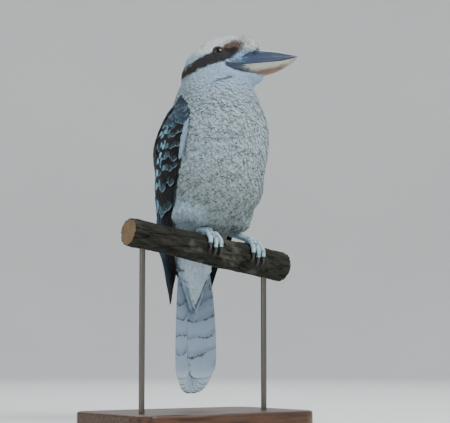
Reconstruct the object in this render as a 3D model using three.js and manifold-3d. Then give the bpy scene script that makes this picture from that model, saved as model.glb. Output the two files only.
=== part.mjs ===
// A life-size laughing kookaburra on a cut length of branch, held on a plain display stand.
// Millimetres, +Z up. The bird's breast faces -Y, its own left side is +X and its head is turned to its left.
// The origin is the middle of the base's underside. Forms are written about the bird's mid plane, x = 0,
// and the whole bird with its perch is then set over by BIRD_X.
import * as THREE from "three";
import { mergeVertices } from "three/addons/utils/BufferGeometryUtils.js";
import Module from "manifold-3d";

const wasm = await Module();
wasm.setup();

// Driving dimensions
const GAP = 0.3; // between touching pieces
const BIRD_X = 12; // the bird's mid plane, from the middle of the base
const TAIL_TIP_Z = 32;
const BASE = { length: 236, depth: 150, height: 14, chamfer: 2.5 };
const ROD = { radius: 3.2, x: [-98, 62] };
const PERCH = { x: [-116, 88], y: -26, z: 187.7, fall: 0.153, radius: 16.2 };
const HEAD = { x: 2, y: -25, z: 397.5, turn: 47, pitch: 8 };
const EYE = { along: 2.6, up: 9.5, out: 18.6, radius: 8 };
const NOSTRIL = { at: 41, up: 3.5 };
const NECK_Z = [356.5, 372]; // the level cuts above and below the neck
const THIGH_SEAM = 1.6; // how far round each thigh its seam with the torso lies
const TAIL = { y: 27, root: 192, width: 15.5, pairs: 6, inner: 2.2, step: 3, layer: 0.8, rear: 3, thick: 0.5 };
const TAIL_STEPS = [0, 1, 2.5, 5.5, 10, 16]; // how much shorter each pair is than the middle one

// The body's level sections: height, middle, half width, and depths in front of and behind the middle
const BODY = [
  { z: 120, y: 25.0, side: 2.0, front: 1.5, back: 1.5 },
  { z: 128, y: 24.5, side: 6.0, front: 4.5, back: 3.5 },
  { z: 138, y: 24.0, side: 10.0, front: 7.5, back: 6.0 },
  { z: 153, y: 24.0, side: 15.0, front: 11.5, back: 10.0 },
  { z: 163, y: 24.0, side: 20.0, front: 14.5, back: 13.0 },
  { z: 174, y: 23.0, side: 24.5, front: 16.0, back: 17.0 },
  { z: 188, y: 20.0, side: 30.0, front: 17.0, back: 23.0 },
  { z: 198, y: 16.0, side: 32.5, front: 16.5, back: 29.0 },
  { z: 206, y: 11.5, side: 35.0, front: 18.5, back: 35.0 },
  { z: 212, y: 8.0, side: 37.5, front: 25.0, back: 39.5 },
  { z: 218, y: 4.0, side: 40.5, front: 33.0, back: 44.0 },
  { z: 226, y: 0.5, side: 45.5, front: 42.5, back: 47.5 },
  { z: 236, y: -2.7, side: 51.5, front: 50.5, back: 51.0 },
  { z: 255, y: -7.4, side: 58.5, front: 56.5, back: 55.0 },
  { z: 274, y: -11.5, side: 61.0, front: 58.5, back: 57.5 },
  { z: 292, y: -15.7, side: 62.0, front: 59.5, back: 58.5 },
  { z: 308, y: -18.8, side: 62.0, front: 60.0, back: 58.0 },
  { z: 325, y: -21.8, side: 59.5, front: 58.5, back: 54.5 },
  { z: 339, y: -23.5, side: 55.0, front: 54.0, back: 50.0 },
  { z: 354, y: -23.5, side: 49.5, front: 47.0, back: 48.0 },
  { z: 368, y: -23.5, side: 44.0, front: 42.0, back: 46.0 },
  { z: 380, y: -23.5, side: 37.0, front: 34.0, back: 41.5 },
  { z: 390, y: -20.0, side: 25.0, front: 19.0, back: 30.0 },
];

// The folded wing's carrier follows the body's flank, and then hangs free past the rump
const WING = [
  ...BODY.filter((s) => s.z >= 255),
  { z: 236, y: -2.7, side: 54.0, front: 53.5, back: 51.0 },
  { z: 220, y: 3.0, side: 51.5, front: 46.0, back: 48.0 },
  { z: 205, y: 9.0, side: 47.0, front: 40.0, back: 42.0 },
  { z: 190, y: 15.0, side: 42.5, front: 34.0, back: 36.0 },
  { z: 175, y: 20.5, side: 38.0, front: 28.0, back: 30.0 },
  { z: 160, y: 24.5, side: 34.0, front: 24.0, back: 24.0 },
  { z: 145, y: 28.0, side: 31.0, front: 20.0, back: 19.0 },
  { z: 125, y: 31.5, side: 28.5, front: 16.0, back: 15.0 },
].sort((p, q) => p.z - q.z);
const WING_Z = [214, 354]; // the part of the wing that lies in its bed on the body
const WING_BED = 3.2;
const WING_BACK = { "-1": 0, 1: 14 }; // degrees that each wing lies further back, right and left
// Front and back edges of the folded wing, in degrees round the body from the breast
const WING_EDGES = [
  { z: 125, front: 94, back: 120 },
  { z: 160, front: 91, back: 130 },
  { z: 187, front: 86, back: 142 },
  { z: 222, front: 80, back: 158 },
  { z: 241, front: 76, back: 162 },
  { z: 268, front: 69, back: 160 },
  { z: 306, front: 66, back: 150 },
  { z: 333, front: 65, back: 138 },
  { z: 346, front: 71, back: 127 },
  { z: 354, front: 80, back: 114 },
];

// The head's upright sections along the bill's line: place, top and bottom from HEAD.z, half width
const SKULL = [
  { at: -45, top: -8, bottom: -20, side: 5 },
  { at: -42.5, top: -2, bottom: -28, side: 14 },
  { at: -34, top: 12.5, bottom: -36, side: 22 },
  { at: -22, top: 22, bottom: -40, side: 27 },
  { at: -10, top: 27.8, bottom: -40, side: 28.5 },
  { at: 2, top: 30.3, bottom: -39, side: 26.5 },
  { at: 10, top: 31.2, bottom: -37, side: 23.5 },
  { at: 18, top: 31.1, bottom: -35, side: 20.3 },
  { at: 26, top: 29.3, bottom: -33.5, side: 17.6 },
  { at: 33, top: 26.2, bottom: -31.5, side: 15 },
  { at: 39, top: 22, bottom: -29.5, side: 12.4 },
  { at: 44, top: 16.5, bottom: -26.5, side: 9.6 },
  { at: 47.5, top: 11, bottom: -22.5, side: 6 },
  { at: 49.5, top: 6, bottom: -19.5, side: 2.5 },
];
// The bill's sections: place, half width, culmen, cutting edge and keel, from HEAD.z
const BILL = [
  { at: 10, side: 24, culmen: 6, edge: -2.6, keel: -12 },
  { at: 18, side: 21.6, culmen: 9, edge: -6, keel: -17 },
  { at: 26, side: 19.2, culmen: 10.5, edge: -7.4, keel: -19.4 },
  { at: 34, side: 17, culmen: 11, edge: -7.5, keel: -20.4 },
  { at: 42, side: 14.9, culmen: 10, edge: -7.7, keel: -20.6 },
  { at: 50, side: 12.8, culmen: 8.2, edge: -7.9, keel: -20.2 },
  { at: 60, side: 10.2, culmen: 5.8, edge: -8.2, keel: -19 },
  { at: 70, side: 7.4, culmen: 2.4, edge: -8.2, keel: -16.4 },
  { at: 78, side: 5, culmen: -0.8, edge: -7.2, keel: -12.9 },
  { at: 84, side: 2.9, culmen: -3.2, edge: -6.1, keel: -9.6 },
  { at: 87, side: 1.5, culmen: -4.4, edge: -5.4, keel: -7.2 },
  { at: 88.8, side: 0.5, culmen: -4.9, edge: -5.4, keel: -6 },
];

// Rows of the folded wing, from the shoulder down: height of the roots at the front edge and their fall to the
// back edge, share of the wing's width that the row spans, number, length and width of its feathers, heights
// of root, middle and tip over the carrier, and how much each feather lies higher than the one before it
const ROWS = [
  { z: 349, fall: 2, from: 0.05, to: 0.62, count: 3, length: 31, width: 20, heights: [-2.2, 1.6, 3.4], stack: 0 },
  { z: 332, fall: 2, from: 0.04, to: 0.68, count: 4, length: 32, width: 20, heights: [-1.9, 1.5, 3.4], stack: 0 },
  { z: 314, fall: 0, from: 0.04, to: 0.95, count: 5, length: 36, width: 22, heights: [-1.9, 1.5, 3.4], stack: 0 },
  { z: 291, fall: -3, from: 0.04, to: 0.96, count: 5, length: 48, width: 23, heights: [-1.9, 1.4, 3.6], stack: 0 },
  { z: 258, fall: 6, from: 0.08, to: 0.94, count: 6, length: 92, width: 18, heights: [-2, 0.5, 0.8], stack: 0.7 },
];
const SECONDARY_STEP = 5; // how much shorter each secondary is than the one before it
const SCAPULARS = { z: 350, from: 0.56, to: 0.96, count: 3, length: 64, width: 22, heights: [-2.2, 2.6, 5.4] };
const PRIMARIES = { count: 5, root: 232, tip: 131, step: 11, width: 15, from: 0.1, to: 0.62 };
const PRIMARY_LAYERS = { low: -2.5, stack: 0.8 };

// Outlines of feathers: [share of the length, share of the width] from root to tip
const COVERT = [
  [0, 0.5],
  [0.42, 1],
  [0.8, 0.9],
  [1, 0.3],
];
const QUILL = [
  [0, 0.45],
  [0.3, 0.86],
  [0.65, 1],
  [0.87, 0.86],
  [1, 0.3],
];
const TAIL_QUILL = [
  [0, 0.45],
  [0.45, 1],
  [0.91, 0.94],
  [0.975, 0.7],
  [1, 0.3],
];

// Smooth curve through [place, value] stations, without overshoot
function curve(stations) {
  const slopes = stations.map((p, i) => {
    if (i === 0 || i === stations.length - 1) return 0;
    const before = (p[1] - stations[i - 1][1]) / (p[0] - stations[i - 1][0]);
    const after = (stations[i + 1][1] - p[1]) / (stations[i + 1][0] - p[0]);
    return before * after <= 0 ? 0 : (2 * before * after) / (before + after);
  });
  return (x) => {
    let i = stations.findIndex((p) => p[0] >= x);
    if (i < 0) return stations.at(-1)[1];
    if (i === 0) return stations[0][1];
    i -= 1;
    const [[x0, y0], [x1, y1]] = [stations[i], stations[i + 1]];
    const h = x1 - x0;
    const t = (x - x0) / h;
    const blend = t * t * (3 - 2 * t);
    const bend = t * (1 - t) * h * (slopes[i] * (1 - t) - slopes[i + 1] * t);
    return y0 + (y1 - y0) * blend + bend;
  };
}
const curvesOf = (rows, key) =>
  Object.fromEntries(Object.keys(rows[0]).map((name) => [name, curve(rows.map((r) => [r[key], r[name]]))]));
const radians = (degrees) => (degrees * Math.PI) / 180;
const steps = (from, to, count) => Array.from({ length: count + 1 }, (_, i) => from + ((to - from) * i) / count);

// Closed solid from points and triangles, turned to face out
function solid(points, triangles) {
  const make = (faces) =>
    new wasm.Manifold(
      new wasm.Mesh({
        numProp: 3,
        vertProperties: new Float32Array(points.flat()),
        triVerts: new Uint32Array(faces.flat()),
      }),
    );
  const made = make(triangles);
  return made.volume() < 0 ? make(triangles.map(([a, b, c]) => [a, c, b])) : made;
}

// Solid from a three.js geometry
function solidOf(geometry) {
  const corners = geometry.toNonIndexed().getAttribute("position");
  const bare = new THREE.BufferGeometry().setAttribute("position", corners);
  const merged = mergeVertices(bare, 1e-3);
  const p = merged.attributes.position.array;
  const t = merged.index.array;
  const points = Array.from({ length: p.length / 3 }, (_, i) => [p[3 * i], p[3 * i + 1], p[3 * i + 2]]);
  const faces = Array.from({ length: t.length / 3 }, (_, i) => [t[3 * i], t[3 * i + 1], t[3 * i + 2]]);
  return solid(
    points,
    faces.filter(([a, b, c]) => a !== b && b !== c && a !== c),
  );
}

// Skin over rings that have the same number of points, with a fan over each end
function loft(rings) {
  const n = rings[0].length;
  const points = rings.flat();
  const faces = [];
  for (let r = 0; r + 1 < rings.length; r++)
    for (let i = 0; i < n; i++) {
      const [a, b] = [r * n + i, r * n + ((i + 1) % n)];
      faces.push([a, b, b + n], [a, b + n, a + n]);
    }
  const middle = (ring) => [0, 1, 2].map((k) => ring.reduce((sum, p) => sum + p[k], 0) / n);
  const last = (rings.length - 1) * n;
  points.push(middle(rings[0]), middle(rings.at(-1)));
  for (let i = 0; i < n; i++) {
    const next = (i + 1) % n;
    faces.push([points.length - 2, next, i], [points.length - 1, last + i, last + next]);
  }
  return solid(points, faces);
}

const join = (pieces) => wasm.Manifold.union(pieces);
const largest = (made) => made.decompose().reduce((p, q) => (p.volume() > q.volume() ? p : q));

// The space on one side of a plane through a point, where its normal points
function side(point, normal) {
  const reach = 1200;
  const box = new THREE.BoxGeometry(reach, reach, reach).translate(0, 0, reach / 2);
  const turn = new THREE.Quaternion().setFromUnitVectors(
    new THREE.Vector3(0, 0, 1),
    new THREE.Vector3(...normal).normalize(),
  );
  return solidOf(box.applyQuaternion(turn).translate(...point));
}

// Tube of changing radius along a list of points, with rounded ends
function tube(path, radii, sides = 6) {
  const line = new THREE.CatmullRomCurve3(path.map((p) => new THREE.Vector3(...p)));
  const count = (path.length - 1) * 2;
  const radius = curve(radii.map((r, i) => [i / (radii.length - 1), r]));
  const frames = line.computeFrenetFrames(count, false);
  const rings = steps(0, 1, count).map((t, i) => {
    const centre = line.getPoint(t);
    const end = i === 0 || i === count ? 0.55 : 1;
    return steps(0, 2 * Math.PI, sides)
      .slice(0, sides)
      .map((angle) => {
        const r = radius(t) * end;
        return centre
          .clone()
          .addScaledVector(frames.normals[i], Math.cos(angle) * r)
          .addScaledVector(frames.binormals[i], Math.sin(angle) * r)
          .toArray();
      });
  });
  return loft(rings);
}

// Point on the body or the wing's carrier at a height and an angle from the breast, out along its normal
function onBody(form, z, angle, out = 0) {
  const [s, c] = [Math.sin(angle), Math.cos(angle)];
  const depth = c > 0 ? form.front(z) : form.back(z);
  const normal = [s / form.side(z), -c / depth];
  const size = Math.hypot(...normal);
  const x = form.side(z) * s + (out * normal[0]) / size;
  const y = form.y(z) - depth * c + (out * normal[1]) / size;
  return [x, y, z];
}

const body = curvesOf(BODY, "z");
const wing = curvesOf(WING, "z");
const wingEdges = curvesOf(WING_EDGES, "z");
const skull = curvesOf(SKULL, "at");
const bill = curvesOf(BILL, "at");

function trunk(grow = 0) {
  const around = steps(0, 2 * Math.PI, 30).slice(0, 30);
  const gap = (i) => (i ? BODY[i].z - BODY[i - 1].z : 0);
  const levels = BODY.flatMap(({ z }, i) => (gap(i) > 13 ? [z - gap(i) / 2, z] : [z]));
  levels[0] -= grow;
  return loft(levels.map((z) => around.map((angle) => onBody(body, z, angle, grow))));
}

// The head's own axes: forwards along the bill, to its left, and up
const heading = radians(HEAD.turn);
const level = new THREE.Vector3(Math.sin(heading), -Math.cos(heading), 0);
const headLeft = new THREE.Vector3(-level.y, level.x, 0);
const headForward = level
  .clone()
  .multiplyScalar(Math.cos(radians(HEAD.pitch)))
  .setZ(Math.sin(radians(HEAD.pitch)));
const headUp = headForward.clone().cross(headLeft);
function onHead(along, left, up) {
  return new THREE.Vector3(HEAD.x, HEAD.y, HEAD.z)
    .addScaledVector(headForward, along)
    .addScaledVector(headLeft, left)
    .addScaledVector(headUp, up)
    .toArray();
}

function headForm() {
  const squareness = 2.3;
  const round = (value) => Math.sign(value) * Math.abs(value) ** (2 / squareness);
  const around = steps(0, 2 * Math.PI, 26).slice(0, 26);
  return loft(
    SKULL.map(({ at, top, bottom, side: wide }) => {
      const [middle, tall] = [(top + bottom) / 2, (top - bottom) / 2];
      return around.map((a) => onHead(at, wide * round(Math.cos(a)), middle + tall * round(Math.sin(a))));
    }),
  );
}

// Point on the bill's side, at a place along it and an angle from the cutting edge round to culmen or keel
function onBill(at, angle, crest, grow = 0) {
  const way = crest === "culmen" ? 1 : -1;
  const edge = bill.edge(at) + way * (GAP / 2 - grow);
  const tall = Math.max(0.3, Math.abs(bill[crest](at) - edge) + grow);
  return onHead(at, (bill.side(at) + grow) * Math.cos(angle), edge + way * tall * Math.sin(angle) ** 0.85);
}
function billHalf(crest, last, grow = 0) {
  const arch = steps(0, Math.PI, 9);
  const places = BILL.map((s) => s.at).filter((at) => at <= last);
  return loft(places.map((at) => arch.map((angle) => onBill(at, angle, crest, grow))));
}

function nostril(hand) {
  const rise = (NOSTRIL.up - bill.edge(NOSTRIL.at)) / (bill.culmen(NOSTRIL.at) - bill.edge(NOSTRIL.at));
  const angle = Math.asin(rise ** (1 / 0.85));
  const slit = new THREE.SphereGeometry(1, 10, 6).scale(3.4, 1.2, 0.9);
  const basis = new THREE.Matrix4().makeBasis(headForward, headLeft, headUp);
  const place = onBill(NOSTRIL.at, hand > 0 ? angle : Math.PI - angle, "culmen");
  return solidOf(slit.applyMatrix4(basis).translate(...place));
}

function eyeball(hand, grow = 0) {
  const ball = new THREE.SphereGeometry(EYE.radius + grow, 14, 9);
  return solidOf(ball.translate(...onHead(EYE.along, hand * EYE.out, EYE.up)));
}

// Lids: a soft ring on the face round each eye
function lids(hand) {
  const ring = new THREE.TorusGeometry(6, 1.3, 5, 16).scale(1.08, 0.9, 1);
  const out = headLeft
    .clone()
    .multiplyScalar(hand)
    .addScaledVector(headForward, 0.3)
    .addScaledVector(headUp, 0.16)
    .normalize();
  const turn = new THREE.Matrix4().makeBasis(
    headUp.clone().cross(out).normalize(),
    out.clone().cross(headUp.clone().cross(out)).normalize(),
    out,
  );
  const place = new THREE.Vector3(...onHead(EYE.along, hand * EYE.out, EYE.up)).addScaledVector(out, 5.4);
  return solidOf(ring.applyMatrix4(turn).translate(...place.toArray()));
}

// A feather: a thin plate, rounded at its tip, whose points place(along, across, height) puts on its carrier.
// It tilts across its width, so that neighbours lie over one another without crossing.
function feather({ place, length, width, heights, outline = QUILL, tilt = 0, thick = 0.7 }) {
  const rise = curve([
    [0, heights[0]],
    [0.42, heights[1]],
    [1, heights[2]],
  ]);
  const columns = outline === COVERT ? [-1, 1] : [-1, 0, 1];
  const rings = outline.map(([share, wide]) => {
    const half = (width * wide) / 2;
    const plate = thick * (share === 1 ? 0.75 : 1);
    const bottom = (c) => rise(share) + tilt * c * half;
    const over = columns.map((c) => place(share * length, c * half, bottom(c) + plate));
    const under = columns.map((c) => place(share * length, c * half, bottom(c)));
    return [...over, ...under.reverse()];
  });
  return plated(rings);
}

// Like loft, with flat ends and the same diagonals on both faces of the plate
function plated(rings) {
  const n = rings[0].length;
  const wide = n / 2;
  const points = rings.flat();
  const faces = [];
  for (let r = 0; r + 1 < rings.length; r++)
    for (let i = 0; i < n; i++) {
      const [a, b] = [r * n + i, r * n + ((i + 1) % n)];
      if (i < wide) faces.push([a, b, b + n], [a, b + n, a + n]);
      else faces.push([a, b, a + n], [b, b + n, a + n]);
    }
  for (const [start, flip] of [
    [0, true],
    [(rings.length - 1) * n, false],
  ])
    for (let i = 0; i + 1 < wide; i++) {
      const [a, b, c, d] = [start + i, start + i + 1, start + n - 2 - i, start + n - 1 - i];
      faces.push(...(flip ? [[a, c, b], [a, d, c]] : [[a, b, c], [a, c, d]]));
    }
  return solid(points, faces);
}

// Carrier of a wing feather that keeps to its share of the wing's width, all the way down from its root
function overWing(hand, root, share) {
  return (along, across, height) => {
    const z = root - along;
    const angle = wingEdges.front(z) + (wingEdges.back(z) - wingEdges.front(z)) * share + WING_BACK[hand];
    return onBody(wing, z, hand * (radians(angle) + across / ((wing.side(z) + wing.back(z)) / 2)), height);
  };
}

// Block over the wing's carrier between a low and a high surface
function wingBlock(hand, [bottom, top], low, high, margin) {
  return loft(
    steps(bottom, top, 8).map((z) => {
      const [front, back] = [wingEdges.front(z) + 3 - margin, wingEdges.back(z) - 3 + margin];
      const place = (s, height) =>
        onBody(wing, z, hand * radians(front + (back - front) * s + WING_BACK[hand]), height);
      const across = steps(0, 1, 6);
      return [...across.map((s) => place(s, high(s, z))), ...across.map((s) => place(s, low)).reverse()];
    }),
  );
}
const wingCore = (hand) => wingBlock(hand, WING_Z, -WING_BED, (s, z) => (z > 350 ? -2.4 : -0.7), 0);
const wingBed = (hand) => wingBlock(hand, [WING_Z[0] - GAP, WING_Z[1] + GAP], -WING_BED - GAP, () => 14, 0.3);

function wingForm(hand) {
  const pieces = [wingCore(hand)];
  for (const row of ROWS)
    for (let i = 0; i < row.count; i++) {
      const share = row.from + ((row.to - row.from) * (i + 0.5)) / row.count;
      const place = overWing(hand, row.z + row.fall * share, share);
      const heights = row.heights.map((h, k) => h + (k ? row.stack * i : 0));
      const long = row.stack ? { length: row.length - SECONDARY_STEP * i, outline: QUILL } : { outline: COVERT };
      pieces.push(feather({ ...row, ...long, place, heights, tilt: row.stack ? -0.05 : -0.08 }));
    }
  const { count, from, to } = SCAPULARS;
  for (let i = 0; i < count; i++) {
    const share = from + ((to - from) * (i + 0.5)) / count;
    const length = SCAPULARS.length * (1 - 0.1 * Math.abs(i - 1));
    pieces.push(feather({ ...SCAPULARS, length, place: overWing(hand, SCAPULARS.z - 2 * i, share), tilt: -0.08 }));
  }
  const p = PRIMARIES;
  for (let i = 0; i < p.count; i++) {
    const share = p.from + ((p.to - p.from) * i) / (p.count - 1);
    const height = PRIMARY_LAYERS.low + PRIMARY_LAYERS.stack * i;
    const tip = p.tip + p.step * Math.abs(i - 2);
    const heights = [height, height, height];
    const size = { length: p.root - tip, width: p.width, thick: 0.5 };
    pieces.push(feather({ ...size, place: overWing(hand, p.root, share), heights }));
  }
  return join(pieces);
}

// Tail: pairs of feathers, the middle pair longest and behind, each outer one shorter and nearer the front.
// The inner two pairs overlap at the middle, so their left feathers lie a layer further to the front.
function tailForm() {
  const pieces = [];
  for (let pair = 0; pair < TAIL.pairs; pair++)
    for (const hand of [-1, 1]) {
      const fan = radians(hand * (0.1 + 0.16 * pair));
      const x0 = hand * (TAIL.inner + TAIL.step * pair);
      const layer = pair < 2 ? 2 * pair + (hand > 0 ? 1 : 0) : pair + 2;
      const depth = TAIL.rear - TAIL.layer * layer;
      const place = (along, across, height) => [
        x0 + along * Math.sin(fan) + across * Math.cos(fan),
        TAIL.y + height,
        TAIL.root - along * Math.cos(fan) + across * Math.sin(fan),
      ];
      const length = (TAIL.root - TAIL_TIP_Z - TAIL_STEPS[pair]) / Math.cos(fan);
      const size = { length, width: TAIL.width, thick: TAIL.thick, outline: TAIL_QUILL };
      pieces.push(feather({ ...size, place, heights: [depth, depth, depth] }));
    }
  const block = new THREE.BoxGeometry(36, 6.6, 15);
  pieces.push(solidOf(block.translate(0, TAIL.y + 0.45, TAIL.root - 5)));
  return join(pieces);
}
// The slot in the rump that the tail's feathers come out of
function tailSlot() {
  const [front, back] = [TAIL.y - 3, TAIL.y + 4.1];
  const rings = [
    [100, 25.4],
    [145, 24.6],
    [170, 23.2],
    [192, 21.6],
    [194.8, 18.3],
  ].map(([z, half]) => [
    [-half, front, z],
    [half, front, z],
    [half, back, z],
    [-half, back, z],
  ]);
  return loft(rings);
}

// Point on the perch's bark, at a place along x and an angle up from straight behind
const perchMiddle = (x) => [x, PERCH.y, PERCH.z - PERCH.fall * x];
function bark(x, angle) {
  const ridges = 0.5 * Math.sin(3 * angle + 0.05 * x) + 0.35 * Math.sin(7 * angle - 0.11 * x);
  const swell = 0.6 * Math.sin(0.045 * x + 1) + 0.012 * x;
  return PERCH.radius + ridges * 0.7 + swell;
}
function perchForm(grow = 0) {
  const around = steps(0, 2 * Math.PI, 20).slice(0, 20);
  const [from, to] = PERCH.x;
  const slope = Math.atan(PERCH.fall);
  const rings = steps(from - grow, to + grow, 14).map((x) => {
    const [mx, my, mz] = perchMiddle(x);
    return around.map((angle) => {
      const r = bark(x, angle) + grow;
      const up = Math.sin(angle) * r;
      return [mx + up * Math.sin(slope), my + Math.cos(angle) * r, mz + up * Math.cos(slope)];
    });
  });
  return loft(rings);
}

// A foot on the perch: three forward toes side by side, one hind toe, and a claw on each
const TOE = { gap: 6, radii: [3, 2.75, 2.6, 2.65, 2.1], claw: [1.7, 1.4, 0.35], pad: 4.3, lift: 0.45 };
function roundPerch(x, angle, out) {
  const slope = Math.atan(PERCH.fall);
  const r = bark(x, angle) + out;
  const [mx, my, mz] = perchMiddle(x);
  const up = Math.sin(angle) * r;
  return [mx + up * Math.sin(slope), my + Math.cos(angle) * r, mz + up * Math.cos(slope)];
}
function toesForm(x) {
  const arc = (across, angles, outs) => angles.map((a, i) => roundPerch(x + across[i], radians(a), outs[i]));
  const pad = new THREE.SphereGeometry(TOE.pad, 10, 7).translate(...roundPerch(x, radians(90), TOE.pad + TOE.lift));
  const pieces = [solidOf(pad)];
  const outs = TOE.radii.map((r) => r + TOE.lift);
  for (const [i, reach] of [0.92, 1.06, 1].entries()) {
    const aside = (i - 1) * TOE.gap;
    const bend = [88, 108, 130, 152, 174].map((a) => 88 + (a - 88) * reach);
    const end = bend.at(-1);
    pieces.push(tube(arc([aside * 0.5, aside * 0.9, aside, aside * 1.08, aside * 1.15], bend, outs), TOE.radii));
    const nail = [aside * 1.15, aside * 1.17, aside * 1.2];
    pieces.push(tube(arc(nail, [end - 4, end + 14, end + 31], [2.4, 3.2, 1]), TOE.claw, 5));
  }
  pieces.push(tube(arc([0, -0.5, -1, -1], [92, 68, 46, 26], outs.slice(1)), TOE.radii.slice(1)));
  pieces.push(tube(arc([-1, -1, -1], [30, 12, -6], [2.4, 3.2, 1]), TOE.claw, 5));
  return join(pieces);
}

const LEGS = {
  right: { hand: -1, toes: -16, heel: [-22, 2, 217.5], hip: [-27, -13, 234], girth: 26 },
  left: { hand: 1, toes: 41, heel: [37, 2, 212.5], hip: [25, -11, 232], girth: 25 },
};
// Shank from inside the thigh down to the toes' pad
const ankle = ({ toes }) => roundPerch(toes, radians(90), TOE.pad + TOE.lift);
function shank(leg, grow = 0) {
  const knee = leg.heel.map((v, i) => v + (v - ankle(leg)[i]) * 0.3);
  const middle = leg.heel.map((v, i) => (v + ankle(leg)[i]) / 2);
  return tube([knee, leg.heel, middle, ankle(leg)], [3.6 + grow, 4.3 + grow, 3.5 + grow, 3.5 + grow]);
}
// The part of a form that lies up the shank from its joint with the foot, less a gap where the foot begins
function upTheShank(made, leg, gap = 0) {
  const way = leg.heel.map((v, i) => v - ankle(leg)[i]);
  const share = 0.35 - gap / Math.hypot(...way);
  return made.intersect(side(ankle(leg).map((v, i) => v + way[i] * share), way));
}

// The feathered thigh, a drop that hangs from the flank to just over the heel
function thigh({ heel, hip, girth }, grow = 0) {
  const stations = [
    [0, 4],
    [0.15, 0.7 * girth],
    [0.4, 0.95 * girth],
    [0.62, girth],
    [0.8, 0.9 * girth],
    [0.92, 0.65 * girth],
    [1, 6],
  ];
  const line = new THREE.QuadraticBezierCurve3(
    new THREE.Vector3(hip[0] * 0.97, hip[1], hip[2] + 36 + grow),
    new THREE.Vector3(hip[0] * 1.1, hip[1] - 5, hip[2] - 4),
    new THREE.Vector3(heel[0], heel[1] - 2, heel[2] - 1.5 - grow),
  );
  return loft(
    stations.map(([share, radius]) => {
      const centre = line.getPoint(share);
      const around = steps(0, 2 * Math.PI, 14).slice(0, 14);
      const r = radius + grow;
      return around.map((a) => [centre.x + Math.cos(a) * r, centre.y + Math.sin(a) * r, centre.z]);
    }),
  );
}

function baseForm() {
  const { length, depth, height, chamfer } = BASE;
  const corner = 26;
  const ring = (inset, z) =>
    steps(0, 2 * Math.PI, 32)
      .slice(0, 32)
      .map((a) => {
        const [c, s] = [Math.cos(a), Math.sin(a)];
        const cx = Math.sign(Math.round(c * 1e6)) * (length / 2 - corner);
        const cy = Math.sign(Math.round(s * 1e6)) * (depth / 2 - corner);
        return [cx + c * (corner - inset), cy + s * (corner - inset), z];
      });
  const shoulder = chamfer * 0.3;
  return loft([ring(0, 0), ring(0, height - chamfer), ring(shoulder, height - shoulder), ring(chamfer, height)]);
}

function rodForm(x) {
  const bottom = BASE.height + GAP;
  const top = perchMiddle(x)[2];
  const rod = new THREE.CylinderGeometry(ROD.radius, ROD.radius, top - bottom, 16).rotateX(Math.PI / 2);
  return solidOf(rod.translate(x, PERCH.y, (top + bottom) / 2));
}

// The bird's flesh is one form, parted by thin cuts into torso, neck, head and thighs
const legs = Object.values(LEGS);
const perch = perchForm();
const widePerch = perchForm(GAP);
const beds = join([wingBed(1), wingBed(-1)]);
const nest = join([trunk(GAP), ...legs.map((leg) => thigh(leg, GAP))]).subtract(beds);
const wideBill = join([billHalf("culmen", 100, GAP), billHalf("keel", 87.5, GAP)]);
const wideEyes = join([eyeball(1, GAP), eyeball(-1, GAP)]);
const less = (made, pieces) => pieces.reduce((rest, piece) => rest.subtract(piece), made);

const flesh = less(join([trunk(), headForm(), ...legs.map((leg) => thigh(leg))]), [
  tailSlot(),
  widePerch,
  beds,
  ...legs.map((leg) => shank(leg, GAP)),
]);
const above = (z) => side([0, 0, z + GAP / 2], [0, 0, 1]);
const below = (z) => side([0, 0, z - GAP / 2], [0, 0, -1]);
const cut = (made, low, high) => largest(made.intersect(above(low)).intersect(below(high)));
const torso = less(cut(flesh, 0, NECK_Z[0]), legs.map((leg) => thigh(leg, THIGH_SEAM + GAP)));
const neck = cut(flesh, ...NECK_Z);
const head = less(cut(flesh, NECK_Z[1], 600).add(join([lids(1), lids(-1)])), [wideBill, wideEyes]);

const solids = {
  torso: [torso, "plumage_pale"],
  neck: [neck, "plumage_pale"],
  head: [head, "plumage_pale"],
  bill_upper: [billHalf("culmen", 100).subtract(join([nostril(1), nostril(-1)])), "bill_slate"],
  bill_lower: [billHalf("keel", 87.5), "bill_horn"],
  eye_left: [eyeball(1), "eye"],
  eye_right: [eyeball(-1), "eye"],
  wing_left: [wingForm(1).subtract(nest), "plumage_brown"],
  wing_right: [wingForm(-1).subtract(nest), "plumage_brown"],
  tail: [tailForm(), "plumage_tail"],
  perch: [perch, "bark"],
  stand_base: [baseForm(), "stand_wood"],
};
for (const [name, leg] of Object.entries(LEGS)) {
  solids["thigh_" + name] = [flesh.intersect(thigh(leg, THIGH_SEAM)), "plumage_pale"];
  solids["leg_" + name] = [upTheShank(shank(leg), leg), "foot_skin"];
  const foot = join([toesForm(leg.toes), shank(leg)]).subtract(upTheShank(shank(leg, GAP), leg, GAP));
  solids["foot_" + name] = [foot.subtract(widePerch), "foot_skin"];
}
ROD.x.forEach((x, i) => {
  solids["stand_rod_" + ["right", "left"][i]] = [rodForm(x).subtract(widePerch), "rod_metal"];
});

// Colour, roughness and metalness of each finish
const FINISHES = {
  plumage_pale: [0xc9ccc8, 0.9, 0],
  plumage_brown: [0x3d312b, 0.85, 0],
  plumage_tail: [0xa9a6ab, 0.85, 0],
  bill_slate: [0x3b4654, 0.4, 0],
  bill_horn: [0xb59b83, 0.45, 0],
  eye: [0x120d0b, 0.08, 0],
  foot_skin: [0x8f9f9d, 0.6, 0],
  bark: [0x4a4038, 0.9, 0],
  stand_wood: [0x5a3d28, 0.45, 0],
  rod_metal: [0x6d6a64, 0.35, 1],
};

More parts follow.
